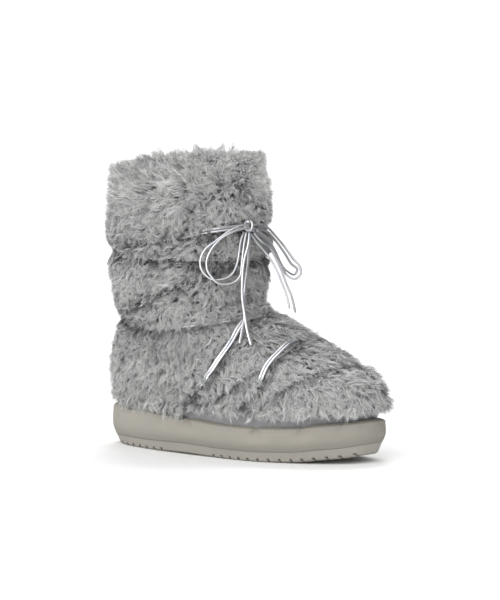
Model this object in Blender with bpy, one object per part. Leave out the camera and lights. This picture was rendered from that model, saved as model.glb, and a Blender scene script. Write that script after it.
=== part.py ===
"""Snow boot for the right foot, standing empty on its sole.

Metres, +Z up. The toe points along -Y and the heel along +Y. +X is the inner side of the foot and
-X the outer side. The origin is on the floor under the middle of the boot.

The upper is worked out as a stack of rings. Each ring is a blunt oval that hangs between a front
line (toe, instep, shin) and a back line (heel, ankle, calf). A place on it is given by an angle,
0 at the front and growing towards the inner side, and by a level, which counts the rings.
"""

import math
import random
from collections import namedtuple

import bmesh
import bpy
import numpy as np
from mathutils import Vector
from mathutils.kdtree import KDTree

# Sole
SOLE_LENGTH = 0.280
BALL_WIDTH = 0.112
HEEL_WIDTH = 0.0935
TOE_SHIFT = 0.0110
SOLE_BLUNTNESS = 2.5
HEEL_STACK = 0.0344
BALL_STACK = 0.0277
TOE_STACK = 0.0350
TOE_SPRING = 0.0085
ARCH_RISE = 0.0012
OUTSOLE_DEPTH = 0.0092
EDGE_TUCK = 0.0060
DIMPLE_PITCH = 0.030
DIMPLE_DEPTH = 0.0016
GROOVE_WIDTH = 0.0024
GROOVE_DEPTH = 0.0032
GROOVE_PITCH = 0.0090
INSOLE_DEPTH = 0.0050

# Upper
LAST_LENGTH = 0.262
LAST_BALL_WIDTH = 0.098
LAST_HEEL_WIDTH = 0.076
INSTEP_RISE = 0.0966
SHAFT_DEPTH = 0.131
SHAFT_WIDTH = 0.112
SHAFT_BEHIND_MIDDLE = 0.0593
COLLAR_HEIGHT = 0.258
COLLAR_DIP = 0.018
WALL = 0.0030
RAND_THICKNESS = 0.0022
RAND_TOP_LEVEL = 1.15
HEM_LEVEL = RAND_TOP_LEVEL + 0.06

# Fur
PILE = 0.0120
PILE_AT_ROOTS = 0.0072
LOCK_LENGTH = 0.0145
LOCK_LEAN = 0.0060
CROWN_RISE = 0.0110
CROWN_REACH = 0.35 * PILE
ROLL_RISE = 0.55 * CROWN_RISE
HEM_DROP = 0.0060
HEM_PILE = 0.70 * PILE

# Laces
CORD_DIAMETER = 0.0024
LACE_SEAT = 0.0070
LACE_WIDTH = 2 * CORD_DIAMETER + 0.0004
PINCH_FLAT = 0.0045
PINCH_RADIUS = 0.0130
PILE_UNDER_LACE = 0.0032

CLEARANCE = 0.0003
SEED = 11

RING_POINTS = 32
WALL_RINGS = 16
FUR_POINTS = 2 * RING_POINTS
FUR_RINGS = 34
SOLE_POINTS = 64

Station = namedtuple("Station", "along toward_ball outer inner turn")
FOOTPRINT = [
    Station(0.00, 0.00, 1.00, 1.00, 0.00),
    Station(0.15, 0.00, 1.00, 1.00, 0.00),
    Station(0.45, 0.50, 1.00, 0.90, 0.00),
    Station(0.68, 1.00, 1.00, 1.00, 0.15),
    Station(0.85, 1.00, 0.96, 0.99, 0.60),
    Station(1.00, 1.00, 0.88, 0.94, 1.00),
]

Stack = namedtuple("Stack", "along heel ball toe spring arch")
BED = [
    Stack(0.00, 1.00, 0.00, 0.00, 0.00, 0.00),
    Stack(0.22, 0.95, 0.05, 0.00, 0.00, 0.00),
    Stack(0.40, 0.50, 0.50, 0.00, 0.00, 1.00),
    Stack(0.56, 0.10, 0.90, 0.00, 0.00, 0.00),
    Stack(0.70, 0.00, 0.97, 0.03, 0.00, 0.00),
    Stack(0.80, 0.00, 0.85, 0.15, 0.10, 0.00),
    Stack(0.92, 0.00, 0.35, 0.65, 0.55, 0.00),
    Stack(1.00, 0.00, 0.00, 1.00, 1.00, 0.00),
]

SideRow = namedtuple("SideRow", "up tuck")
MIDSOLE_SIDE = [
    SideRow(0.00, 0.55),
    SideRow(0.22, 0.16),
    SideRow(0.48, 0.00),
    SideRow(0.74, 0.14),
    SideRow(0.92, 0.52),
    SideRow(1.00, 1.00),
]

# Shares of half the last's length in front of and behind the sole's middle, shares of the instep's
# rise above the bed, the width as a share of the last's ball width, the oval's bluntness, and how
# far the ring still has the footprint's outline.
FootRing = namedtuple("FootRing", "front front_up back back_up width bluntness foot")
FOOT_RINGS = [
    FootRing(0.965, 0.000, 0.950, 0.000, 1.00, 2.50, 1.00),
    FootRing(1.005, 0.100, 0.966, 0.100, 1.05, 2.50, 1.00),
    FootRing(1.008, 0.200, 0.980, 0.195, 1.07, 2.45, 0.95),
    FootRing(0.958, 0.330, 0.990, 0.290, 1.07, 2.40, 0.85),
    FootRing(0.840, 0.440, 0.990, 0.385, 1.05, 2.30, 0.70),
    FootRing(0.687, 0.543, 0.976, 0.475, 1.03, 2.20, 0.50),
    FootRing(0.519, 0.650, 0.953, 0.565, 1.01, 2.15, 0.35),
    FootRing(0.351, 0.757, 0.929, 0.655, 1.00, 2.10, 0.20),
    FootRing(0.198, 0.845, 0.908, 0.735, 0.99, 2.05, 0.08),
    FootRing(0.076, 0.915, 0.893, 0.805, 0.98, 2.00, 0.00),
]

# Shares of the way from the ankle to the collar, of the shaft's depth and width, and how far the
# ring sits ahead of the shaft's axis as a share of its depth.
ShaftRing = namedtuple("ShaftRing", "up depth width ahead")
SHAFT_RINGS = [
    ShaftRing(0.00, 0.885, 0.880, 0.010),
    ShaftRing(0.10, 0.925, 0.900, 0.012),
    ShaftRing(0.22, 0.970, 0.940, 0.012),
    ShaftRing(0.36, 1.000, 0.970, 0.008),
    ShaftRing(0.52, 1.000, 0.990, 0.000),
    ShaftRing(0.68, 1.000, 1.000, 0.000),
    ShaftRing(0.84, 1.000, 1.000, 0.000),
    ShaftRing(1.00, 1.000, 1.000, 0.000),
]
ANKLE_BACK_UP = 0.875
TOP_LEVEL = len(FOOT_RINGS) + len(SHAFT_RINGS) - 1

# The doubled cord's way on the inner half of its crossings, as turns in degrees and levels. The
# other half is its mirror image.
LacePoint = namedtuple("LacePoint", "turn level")
LACE_ROUTE = [
    LacePoint(-715, 14.05),
    LacePoint(-684, 13.96),
    LacePoint(-656, 13.80),
    LacePoint(-607, 13.75),
    LacePoint(-575, 13.72),
    LacePoint(-540, 13.65),
    LacePoint(-500, 13.45),
    LacePoint(-460, 13.20),
    LacePoint(-425, 12.88),
    LacePoint(-386, 12.72),
    LacePoint(-360, 12.67),
    LacePoint(-335, 12.40),
    LacePoint(-293, 11.42),
    LacePoint(-252, 10.35),
    LacePoint(-215, 9.75),
    LacePoint(-180, 9.35),
    LacePoint(-145, 8.95),
    LacePoint(-110, 8.45),
    LacePoint(-80, 7.98),
    LacePoint(-45, 7.98),
    LacePoint(0, 8.25),
    LacePoint(30, 7.60),
    LacePoint(60, 5.90),
    LacePoint(81, 4.10),
    LacePoint(93, 2.40),
    LacePoint(96, 1.85),
    LacePoint(91, 1.85),
    LacePoint(84, 2.50),
    LacePoint(69, 3.72),
    LacePoint(50, 4.70),
    LacePoint(30, 5.45),
    LacePoint(0, 6.14),
    LacePoint(-33, 5.40),
    LacePoint(-53, 4.30),
    LacePoint(-65, 3.15),
    LacePoint(-73, 2.30),
    LacePoint(-76, 1.85),
    LacePoint(-71, 1.85),
    LacePoint(-60, 2.70),
    LacePoint(-42, 3.58),
    LacePoint(-20, 4.10),
    LacePoint(0, 4.22),
]
LACE_STEP = 0.014

# The bow's cords, by turns in degrees round an upright shaft as wide as the one at the knot, by the
# drop below the knot as a share of the bow's drop, and by the distance out as a share of the pile.
KNOT_LEVEL = 14.07
BOW_DROP = 0.105
CordPoint = namedtuple("CordPoint", "turn drop out")
KNOT = CordPoint(-9.6, 0.00, 1.21)
BOW = {
    "left_loop_outer": [
        CordPoint(-12.3, -0.012, 1.15),
        CordPoint(-17.5, -0.005, 1.18),
        CordPoint(-23.0, 0.02, 1.22),
        CordPoint(-35.4, 0.12, 1.25),
        CordPoint(-42.3, 0.19, 1.25),
        CordPoint(-45.0, 0.27, 1.25),
        CordPoint(-44.6, 0.34, 1.25),
        CordPoint(-42.0, 0.39, 1.25),
        CordPoint(-37.4, 0.43, 1.25),
        CordPoint(-30.7, 0.43, 1.25),
        CordPoint(-24.7, 0.40, 1.25),
        CordPoint(-21.1, 0.34, 1.25),
        CordPoint(-19.0, 0.26, 1.25),
        CordPoint(-17.9, 0.17, 1.25),
        CordPoint(-16.1, 0.09, 1.22),
        CordPoint(-13.4, 0.048, 1.10),
    ],
    "left_loop_inner": [
        CordPoint(-11.6, 0.012, 1.34),
        CordPoint(-17.5, 0.022, 1.44),
        CordPoint(-24.7, 0.045, 1.52),
        CordPoint(-34.9, 0.13, 1.54),
        CordPoint(-39.3, 0.21, 1.54),
        CordPoint(-41.1, 0.28, 1.54),
        CordPoint(-40.7, 0.35, 1.54),
        CordPoint(-37.8, 0.41, 1.54),
        CordPoint(-34.0, 0.46, 1.54),
        CordPoint(-28.8, 0.47, 1.54),
        CordPoint(-22.7, 0.45, 1.54),
        CordPoint(-19.4, 0.41, 1.54),
        CordPoint(-18.1, 0.32, 1.54),
        CordPoint(-17.0, 0.21, 1.54),
        CordPoint(-15.6, 0.11, 1.52),
        CordPoint(-13.4, 0.046, 1.38),
    ],
    "right_loop_outer": [
        CordPoint(-6.6, -0.012, 1.27),
        CordPoint(4.0, 0.00, 1.32),
        CordPoint(9.0, 0.03, 1.42),
        CordPoint(14.0, 0.09, 1.65),
        CordPoint(18.0, 0.17, 2.10),
        CordPoint(20.0, 0.28, 2.74),
        CordPoint(21.0, 0.35, 3.23),
        CordPoint(21.0, 0.40, 3.31),
        CordPoint(20.0, 0.45, 2.89),
        CordPoint(19.0, 0.42, 2.33),
        CordPoint(17.0, 0.33, 1.98),
        CordPoint(12.0, 0.21, 1.72),
        CordPoint(3.0, 0.10, 1.60),
        CordPoint(-5.5, 0.032, 1.46),
    ],
    "right_loop_inner": [
        CordPoint(-6.3, 0.020, 1.18),
        CordPoint(6.0, 0.045, 1.24),
        CordPoint(14.0, 0.09, 1.32),
        CordPoint(19.5, 0.17, 1.70),
        CordPoint(23.0, 0.25, 2.08),
        CordPoint(26.0, 0.33, 2.45),
        CordPoint(27.5, 0.38, 2.87),
        CordPoint(27.0, 0.42, 2.67),
        CordPoint(24.0, 0.39, 2.20),
        CordPoint(19.0, 0.25, 1.50),
        CordPoint(10.0, 0.13, 1.20),
        CordPoint(2.0, 0.085, 1.20),
        CordPoint(-5.0, 0.050, 1.20),
    ],
    "centre_end_left": [
        CordPoint(-11.2, 0.050, 1.41),
        CordPoint(-14.4, 0.14, 1.82),
        CordPoint(-18.0, 0.29, 1.90),
        CordPoint(-19.3, 0.43, 1.96),
        CordPoint(-20.0, 0.56, 2.10),
        CordPoint(-22.4, 0.72, 3.20),
        CordPoint(-23.0, 0.84, 3.85),
        CordPoint(-23.1, 0.94, 4.50),
    ],
    "centre_end_right": [
        CordPoint(-9.9, 0.061, 1.24),
        CordPoint(-11.6, 0.14, 1.46),
        CordPoint(-13.2, 0.29, 1.56),
        CordPoint(-15.2, 0.44, 1.62),
        CordPoint(-17.0, 0.56, 1.76),
        CordPoint(-20.6, 0.72, 2.62),
        CordPoint(-24.4, 0.82, 3.42),
        CordPoint(-27.1, 0.93, 3.99),
    ],
    "right_end_outer": [
        CordPoint(-7.4, 0.057, 1.36),
        CordPoint(-3.0, 0.13, 1.74),
        CordPoint(3.0, 0.18, 1.90),
        CordPoint(6.0, 0.25, 2.06),
        CordPoint(8.0, 0.36, 2.46),
        CordPoint(9.0, 0.48, 2.83),
        CordPoint(11.0, 0.59, 3.12),
        CordPoint(13.0, 0.72, 3.28),
    ],
    "right_end_inner": [
        CordPoint(-7.8, 0.062, 1.12),
        CordPoint(-5.0, 0.13, 1.36),
        CordPoint(-1.0, 0.20, 1.66),
        CordPoint(2.0, 0.27, 2.02),
        CordPoint(3.5, 0.36, 2.44),
        CordPoint(4.5, 0.46, 2.78),
        CordPoint(6.0, 0.56, 3.05),
        CordPoint(7.5, 0.68, 3.22),
    ],
}
CORD_STEP = 2.5 * CORD_DIAMETER
KNOT_RADIUS = 1.75 * CORD_DIAMETER
KNOT_PITCH = 1.30 * CORD_DIAMETER
KNOT_WINDS = 1.75


def blend(a, b, share):
    return a + (b - a) * share


def smooth_step(x):
    x = min(1.0, max(0.0, x))
    return x * x * (3 - 2 * x)


def curve_through(rows, place):
    """The smooth curve through evenly spaced rows of numbers, at place rows from the first."""
    last = len(rows) - 1
    i = min(max(int(place), 0), last - 1)
    before, a, b, after = (rows[min(max(i + k, 0), last)] for k in (-1, 0, 1, 2))
    t = place - i
    slope_a, slope_b = (b - before) / 2, (after - a) / 2
    return (
        (2 * t**3 - 3 * t**2 + 1) * a
        + (t**3 - 2 * t**2 + t) * slope_a
        + (3 * t**2 - 2 * t**3) * b
        + (t**3 - t**2) * slope_b
    )


def smooth_curve(rows, knots, at):
    """The smooth curve through rows of numbers that lie at uneven knots, at given places."""
    rows, knots = np.array(rows, float), np.array(knots, float)
    gaps = np.diff(knots)[:, None]
    rates = np.diff(rows, axis=0) / gaps
    inner = (rates[:-1] * gaps[1:] + rates[1:] * gaps[:-1]) / (gaps[:-1] + gaps[1:])
    slopes = np.vstack([rates[:1], inner, rates[-1:]])
    i = np.clip(np.searchsorted(knots, at, side="right") - 1, 0, len(knots) - 2)
    gap = gaps[i]
    t = (np.array(at)[:, None] - knots[i][:, None]) / gap
    return (
        (2 * t**3 - 3 * t**2 + 1) * rows[i]
        + (t**3 - 2 * t**2 + t) * gap * slopes[i]
        + (3 * t**2 - 2 * t**3) * rows[i + 1]
        + (t**3 - t**2) * gap * slopes[i + 1]
    )


def running_length(points):
    """The distance from the first point to each point."""
    steps = np.linalg.norm(np.diff(np.array(points), axis=0), axis=1)
    return np.concatenate([[0.0], np.cumsum(steps)])


def evenly_along(rows, place_of, step):
    """Rows at even steps of distance along the smooth curve through a table's rows."""
    knots = running_length([place_of(*row) for row in rows])
    fine_knots = np.linspace(0, knots[-1], 10 * len(rows))
    fine = running_length([place_of(*row) for row in smooth_curve(rows, knots, fine_knots)])
    count = max(3, round(fine[-1] / step))
    at = np.interp(np.linspace(0, fine[-1], count + 1), fine, fine_knots)
    return smooth_curve(rows, knots, at)


def table_at(table, share):
    """A table's row at a share of its first column, on a curve that doesn't overshoot."""
    share = min(1.0, max(0.0, share))
    for low, high in zip(table, table[1:]):
        if share <= high[0]:
            t = smooth_step((share - low[0]) / (high[0] - low[0]))
            t = blend(t, (share - low[0]) / (high[0] - low[0]), 0.5)
            return type(low)(*(blend(a, b, t) for a, b in zip(low, high)))
    return table[-1]


def along_of(y):
    """How far a place is from the heel's end of the sole, as a share of its length."""
    return 0.5 - y / SOLE_LENGTH


def bed_height(y):
    """Height of the platform's top, on which the upper stands."""
    row = table_at(BED, along_of(y))
    return row.heel * HEEL_STACK + row.ball * BALL_STACK + row.toe * TOE_STACK


def floor_lift(y):
    """How far the sole's underside is off the floor: the arch and the toe spring."""
    row = table_at(BED, along_of(y))
    return row.spring * TOE_SPRING + row.arch * ARCH_RISE


def oval(angle, bluntness):
    """A blunt oval's share forwards and share across at an angle from the front."""
    power = 2 / bluntness
    c, s = math.cos(angle), math.sin(angle)
    return math.copysign(abs(c) ** power, c), math.copysign(abs(s) ** power, s)


def footprint(angle, length, ball, heel, bluntness, middle=0.0):
    """The foot's outline at an angle, for a length and two widths."""
    forward, across = oval(angle, bluntness)
    row = table_at(FOOTPRINT, (1 + forward) / 2)
    half = blend(heel, ball, row.toward_ball) / 2
    side = row.inner if across > 0 else row.outer
    return across * half * side + row.turn * TOE_SHIFT, middle - forward * length / 2


def sole_point(angle, tuck):
    """The sole's outline, drawn in by a tuck."""
    x, y = footprint(
        angle,
        SOLE_LENGTH - 2 * tuck,
        BALL_WIDTH - 2 * tuck,
        HEEL_WIDTH - 2 * tuck,
        SOLE_BLUNTNESS,
    )
    return x, y


def ring_rows():
    """Each ring as front y and z, back y and z, half width, bluntness and share of footprint."""
    half = LAST_LENGTH / 2
    rows = [
        [
            -r.front * half,
            TOE_STACK + r.front_up * INSTEP_RISE,
            r.back * half,
            HEEL_STACK + r.back_up * INSTEP_RISE,
            r.width * LAST_BALL_WIDTH / 2,
            r.bluntness,
            r.foot,
        ]
        for r in FOOT_RINGS
    ]
    ankle_front = TOE_STACK + INSTEP_RISE
    ankle_back = HEEL_STACK + ANKLE_BACK_UP * INSTEP_RISE
    for r in SHAFT_RINGS:
        middle = SHAFT_BEHIND_MIDDLE - r.ahead * SHAFT_DEPTH
        reach = r.depth * SHAFT_DEPTH / 2
        rows.append(
            [
                middle - reach,
                blend(ankle_front, COLLAR_HEIGHT, r.up),
                middle + reach,
                blend(ankle_back, COLLAR_HEIGHT - COLLAR_DIP, r.up),
                r.width * SHAFT_WIDTH / 2,
                2.0,
                0.0,
            ]
        )
    return [np.array(row) for row in rows]


RING_ROWS = ring_rows()


def last_point(angle, level):
    """A place on the outside of the upper's wall."""
    front_y, front_z, back_y, back_z, half, bluntness, foot = curve_through(RING_ROWS, level)
    forward, across = oval(angle, bluntness)
    y = blend(back_y, front_y, (1 + forward) / 2)
    z = blend(back_z, front_z, (1 + forward) / 2)
    growth = 2 * half / LAST_BALL_WIDTH
    print_x, _ = footprint(
        angle, 1.0, growth * LAST_BALL_WIDTH, growth * LAST_HEEL_WIDTH, bluntness
    )
    x = blend(across * half, print_x, foot)
    sag = max(0.0, 1 - level / 3)
    z += sag * (bed_height(y) - blend(HEEL_STACK, TOE_STACK, (1 + forward) / 2))
    return np.array([x, y, z])


def last_frame(angle, level):
    """The place, the outward normal and the direction down the upper, there."""
    turn, rise = 0.01, 0.05
    place = last_point(angle, level)
    low, high = max(0.0, level - rise), min(TOP_LEVEL, level + rise)
    around = last_point(angle + turn, level) - last_point(angle - turn, level)
    up = last_point(angle, high) - last_point(angle, low)
    normal = np.cross(around, up)
    normal /= np.linalg.norm(normal)
    normal[2] *= smooth_step((level - 0.5) / 2.5)
    normal /= np.linalg.norm(normal)
    return place, normal, -up / np.linalg.norm(up)


def off_last(angle, level, depth, down=0.0):
    """A place so far outside the upper's wall, and so far down it."""
    place, normal, downward = last_frame(angle, level)
    place = place + normal * depth + downward * down
    if level <= 0:
        place[2] = bed_height(place[1]) + CLEARANCE
    return place


def grid_angle(share, level):
    """The angle of a ring's point, so that points lie evenly on long rings too."""
    angle = math.tau * share
    return angle + 0.2 * smooth_step((11 - level) / 6) * math.sin(2 * angle)


def even_levels(low, high, count):
    """Levels between two levels whose rings lie evenly along the upper's side and front."""
    fine = np.linspace(low, high, 200)
    sides = np.array(
        [[last_point(math.radians(a), level) for a in (0, 90, 180)] for level in fine]
    )
    steps = np.linalg.norm(np.diff(sides, axis=0), axis=2).mean(axis=1)
    distance = np.concatenate([[0], np.cumsum(steps)])
    return np.interp(np.linspace(0, distance[-1], count), distance, fine)


def ring_off_last(level, depth, points=RING_POINTS):
    return [off_last(grid_angle(j / points, level), level, depth) for j in range(points)]


def material(name, colour, roughness, metallic=0.0):
    made = bpy.data.materials.new(name)
    made.use_nodes = True
    shader = made.node_tree.nodes["Principled BSDF"]
    shader.inputs["Base Color"].default_value = (*colour, 1.0)
    shader.inputs["Roughness"].default_value = roughness
    shader.inputs["Metallic"].default_value = metallic
    return made


def finished(name, mesh_maker, finish):
    """A new object from a bmesh, with its faces pointing out."""
    bmesh.ops.recalc_face_normals(mesh_maker, faces=mesh_maker.faces)
    mesh = bpy.data.meshes.new(name)
    mesh_maker.to_mesh(mesh)
    mesh_maker.free()
    mesh.materials.append(finish)
    mesh.shade_smooth()
    mesh.set_sharp_from_angle(angle=math.radians(50))
    made = bpy.data.objects.new(name, mesh)
    bpy.context.scene.collection.objects.link(made)
    return made


def add_ring(mesh_maker, points):
    return [mesh_maker.verts.new(Vector(p)) for p in points]


def join_rings(mesh_maker, lower, upper):
    """Quads between two rings, or triangles where one ring has twice the other's points."""
    if len(lower) < len(upper):
        lower, upper = upper, lower
    fine, coarse = len(lower), len(upper)
    for j in range(coarse):
        here, there = upper[j], upper[(j + 1) % coarse]
        if fine == coarse:
            mesh_maker.faces.new((lower[j], lower[(j + 1) % fine], there, here))
            continue
        first, middle, last = (lower[(2 * j + k) % fine] for k in range(3))
        mesh_maker.faces.new((first, middle, here))
        mesh_maker.faces.new((middle, there, here))
        mesh_maker.faces.new((middle, last, there))


def cap_ring(mesh_maker, ring):
    """Rungs from side to side across a ring that starts at the toe."""
    count = len(ring)
    for j in range(count // 2):
        rung = [ring[j], ring[j + 1], ring[(count - j - 1) % count], ring[(count - j) % count]]
        mesh_maker.faces.new(list(dict.fromkeys(rung)))


def lofted(name, rings, finish, hollow):
    """A solid through rings. A hollow one's last ring meets its first, and others are capped."""
    maker = bmesh.new()
    made = [add_ring(maker, ring) for ring in rings]
    for lower, upper in zip(made, made[1:] + made[:1] * hollow):
        join_rings(maker, lower, upper)
    if not hollow:
        cap_ring(maker, made[0])
        cap_ring(maker, made[-1])
    return finished(name, maker, finish)


def sole_angles():
    return [grid_angle(j / SOLE_POINTS, 0) for j in range(SOLE_POINTS)]


def outline_lengths():
    """The distance round the sole from the toe to each of its points, and once round."""
    points = np.array([sole_point(a, 0) for a in sole_angles()])
    steps = np.linalg.norm(np.roll(points, -1, axis=0) - points, axis=1)
    return np.concatenate([[0], np.cumsum(steps)])


def make_outsole(finish):
    """The moulded bottom: a shallow dish edge, with cross grooves cut into it."""
    rows = [(0.0, 1.50), (0.14, 1.15), (1.0, 0.55)]
    rings = []
    for up, tuck in rows:
        ring = []
        for angle in sole_angles():
            x, y = sole_point(angle, tuck * EDGE_TUCK)
            ring.append((x, y, floor_lift(y) + up * OUTSOLE_DEPTH))
        rings.append(ring)
    outsole = lofted("outsole", rings, finish, hollow=False)
    for number, cutter in enumerate(groove_cutters()):
        cut = outsole.modifiers.new(f"groove_{number}", "BOOLEAN")
        cut.operation = "DIFFERENCE"
        cut.object = cutter
    return outsole


Tread = namedtuple("Tread", "start end fan")
TREADS = [Tread(0.050, 0.285, 4.0), Tread(0.535, 0.960, 4.0)]


def groove_cutters():
    """Wire boxes across the sole, fanned a little, over the heel and the forefoot."""
    cutters = []
    for tread in TREADS:
        count = int((tread.end - tread.start) * SOLE_LENGTH / GROOVE_PITCH) + 1
        for k in range(count):
            share = k / (count - 1)
            y = SOLE_LENGTH * (0.5 - blend(tread.start, tread.end, share))
            bpy.ops.mesh.primitive_cube_add(size=1)
            cutter = bpy.context.object
            cutter.name = f"groove_cutter_{len(cutters)}"
            cutter.scale = (1.5 * BALL_WIDTH, GROOVE_WIDTH, 2 * GROOVE_DEPTH)
            cutter.location = (0, y, floor_lift(y))
            slope = (floor_lift(y + GROOVE_PITCH) - floor_lift(y - GROOVE_PITCH)) / (
                2 * GROOVE_PITCH
            )
            cutter.rotation_euler = (
                math.atan(slope),
                0,
                math.radians(blend(-tread.fan, tread.fan, share)),
            )
            cutter.hide_render = True
            cutter.display_type = "WIRE"
            cutters.append(cutter)
    return cutters


def make_midsole(finish):
    """The puffy platform: a bulging side, gathered into dimples under its top edge."""
    lengths = outline_lengths()
    dimples = 2 * round(lengths[-1] / DIMPLE_PITCH / 2)
    rings = []
    for row in MIDSOLE_SIDE:
        ring = []
        gather = DIMPLE_DEPTH * smooth_step((row.up - 0.3) / 0.45)
        for angle, length in zip(sole_angles(), lengths):
            wave = 0.5 + 0.5 * math.cos(math.tau * dimples * length / lengths[-1])
            x, y = sole_point(angle, row.tuck * EDGE_TUCK + gather * wave**4)
            low = floor_lift(y) + OUTSOLE_DEPTH + CLEARANCE
            ring.append((x, y, blend(low, bed_height(y), row.up)))
        rings.append(ring)
    return lofted("midsole", rings, finish, hollow=False)


def make_insole(finish):
    """The footbed, lying on the platform inside the upper."""
    inset = WALL + CLEARANCE
    low = ring_off_last(0, -inset)
    high = [(*p[:2], p[2] + INSOLE_DEPTH) for p in low]
    return lofted("insole", [low, high], finish, hollow=False)


def make_rand(finish):
    """The smooth band that covers the foot of the upper, above the platform."""
    levels = np.linspace(0, RAND_TOP_LEVEL, 4)
    inner, outer = CLEARANCE, CLEARANCE + RAND_THICKNESS
    rings = [ring_off_last(level, outer) for level in levels]
    rings += [ring_off_last(level, inner) for level in reversed(levels)]
    return lofted("rand", rings, finish, hollow=True)


def lace_places():
    """The doubled cord's way from its end by the knot to the middle of the foremost bar."""
    return evenly_along(LACE_ROUTE, lambda turn, level: last_point(math.radians(turn), level), LACE_STEP)


def lace_strip(name, mirror, finish):
    """One half of the lacing, as a flat strip over the pinched fur."""
    places = [(mirror * math.radians(turn), level) for turn, level in lace_places()]
    frames = [last_frame(*place) for place in places]
    line = [place + normal * LACE_SEAT for place, normal, _ in frames]
    maker = bmesh.new()
    rings = []
    for i, (_, normal, _) in enumerate(frames):
        ahead = line[min(i + 1, len(line) - 1)] - line[max(i - 1, 0)]
        across = np.cross(normal, ahead)
        across *= LACE_WIDTH / 2 / np.linalg.norm(across)
        lift = normal * CORD_DIAMETER
        corners = (line[i] - across, line[i] + across, line[i] + across + lift, line[i] - across + lift)
        rings.append(add_ring(maker, corners))
    for lower, upper in zip(rings, rings[1:]):
        join_rings(maker, lower, upper)
    maker.faces.new(rings[0])
    maker.faces.new(rings[-1])
    return finished(name, maker, finish)


def make_lacing(finish):
    """Both halves of the lacing, joined where they cross and at the foremost bar."""
    lacing = lace_strip("lace_wraps", 1, finish)
    other = lace_strip("lace_other_half", -1, finish)
    other.hide_render = True
    other.display_type = "WIRE"
    join = lacing.modifiers.new("join", "BOOLEAN")
    join.operation = "UNION"
    join.object = other
    return lacing


def lace_tree():
    """A search tree of places under both halves of the lacing."""
    points = []
    for mirror in (-1, 1):
        for turn, level in lace_places():
            points.append(last_point(mirror * math.radians(turn), level))
    fine = []
    for a, b in zip(points, points[1:]):
        if np.linalg.norm(b - a) < 3 * LACE_STEP:
            fine += [blend(a, b, share) for share in (0.0, 0.25, 0.5, 0.75)]
    tree = KDTree(len(fine))
    for i, point in enumerate(fine):
        tree.insert(Vector(point), i)
    tree.balance()
    return tree


def pinched(depth, place, tree):
    """The pile's depth where a lace lies within reach, and the share of it that is left."""
    _, _, distance = tree.find(Vector(place))
    left = smooth_step((distance - PINCH_FLAT) / PINCH_RADIUS)
    return blend(PILE_UNDER_LACE, depth, left), left


def beside_shaft(turn, drop, out):
    """A place beside an upright shaft as wide as the one at the knot, below the knot."""
    angle = math.radians(turn)
    place = last_point(angle, KNOT_LEVEL)
    around = last_point(angle + 0.01, KNOT_LEVEL) - last_point(angle - 0.01, KNOT_LEVEL)
    outward = np.array([around[1], -around[0], 0.0])
    place = place + outward / np.linalg.norm(outward) * out * PILE
    place[2] = last_point(0, KNOT_LEVEL)[2] - drop * BOW_DROP
    return place


def make_cord(name, points, finish):
    """A round cord through points, with flat ends."""
    curve = bpy.data.curves.new(name, "CURVE")
    curve.dimensions = "3D"
    line = curve.splines.new("POLY")
    line.points.add(len(points) - 1)
    for spot, point in zip(line.points, points):
        spot.co = (*point, 1.0)
    curve.bevel_depth = CORD_DIAMETER / 2
    curve.bevel_resolution = 2
    curve.use_fill_caps = True
    curve.materials.append(finish)
    made = bpy.data.objects.new(name, curve)
    bpy.context.scene.collection.objects.link(made)
    return made


def make_knot(finish):
    """The knot: cord wound round the start of the loops, with its axis round the shaft."""
    centre = beside_shaft(*KNOT)
    outward = beside_shaft(KNOT.turn, KNOT.drop, KNOT.out + 1) - centre
    outward /= np.linalg.norm(outward)
    up = np.array([0.0, 0.0, 1.0])
    across = np.cross(up, outward)
    count = round(9 * KNOT_WINDS)
    points = []
    for i in range(count + 1):
        wind = KNOT_WINDS * (i / count - 0.5)
        out, rise = KNOT_RADIUS * math.cos(math.tau * wind), KNOT_RADIUS * math.sin(math.tau * wind)
        points.append(centre + outward * out + up * rise + across * KNOT_PITCH * wind)
    return make_cord("knot", points, finish)


def make_bow(finish):
    """Two doubled loops and two doubled ends, hung from the knot."""
    for name, rows in BOW.items():
        places = evenly_along(rows, beside_shaft, CORD_STEP)
        make_cord(name, [beside_shaft(*place) for place in places], finish)


def pile_rings(levels, dice, tree):
    """The outside of the fur: leaning locks of even length, staggered from column to column."""
    angles = [[grid_angle(j / FUR_POINTS, level) for j in range(FUR_POINTS)] for level in levels]
    bases = [[last_point(a, level) for a in ring] for ring, level in zip(angles, levels)]
    starts = [dice.uniform(0, 0.35) + 0.5 * (j // 2 % 2) for j in range(FUR_POINTS)]
    rings = []
    for k, level in enumerate(levels):
        ring = []
        for j in range(FUR_POINTS):
            risen = [running_length([b[j] for b in bases[: n + 1]])[-1] for n in (k, max(k - 1, 0))]
            now, before = (math.floor(r / LOCK_LENGTH + starts[j]) for r in risen)
            tip = j % 2 == 0 and now > before
            wander = dice.uniform(0.85, 1.12)
            depth, left = pinched((PILE if tip else PILE_AT_ROOTS) * wander, bases[k][j], tree)
            lean = LOCK_LEAN * dice.uniform(0.5, 1.2) * left * tip
            if k == 0:
                depth, lean = max(depth, HEM_PILE), HEM_DROP * dice.uniform(0.4, 1.1)
            ring.append(off_last(angles[k][j], level, depth, lean))
        rings.append(ring)
    return rings


def crown_ring(dice):
    """The tips of the fur that stands up round the collar."""
    ring = []
    for j in range(FUR_POINTS):
        rise = CROWN_RISE * (dice.uniform(0.85, 1.15) if j % 2 else dice.uniform(0.5, 0.7))
        point = off_last(grid_angle(j / FUR_POINTS, TOP_LEVEL), TOP_LEVEL, CROWN_REACH)
        ring.append(point + np.array([0, 0, rise]))
    return ring


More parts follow.
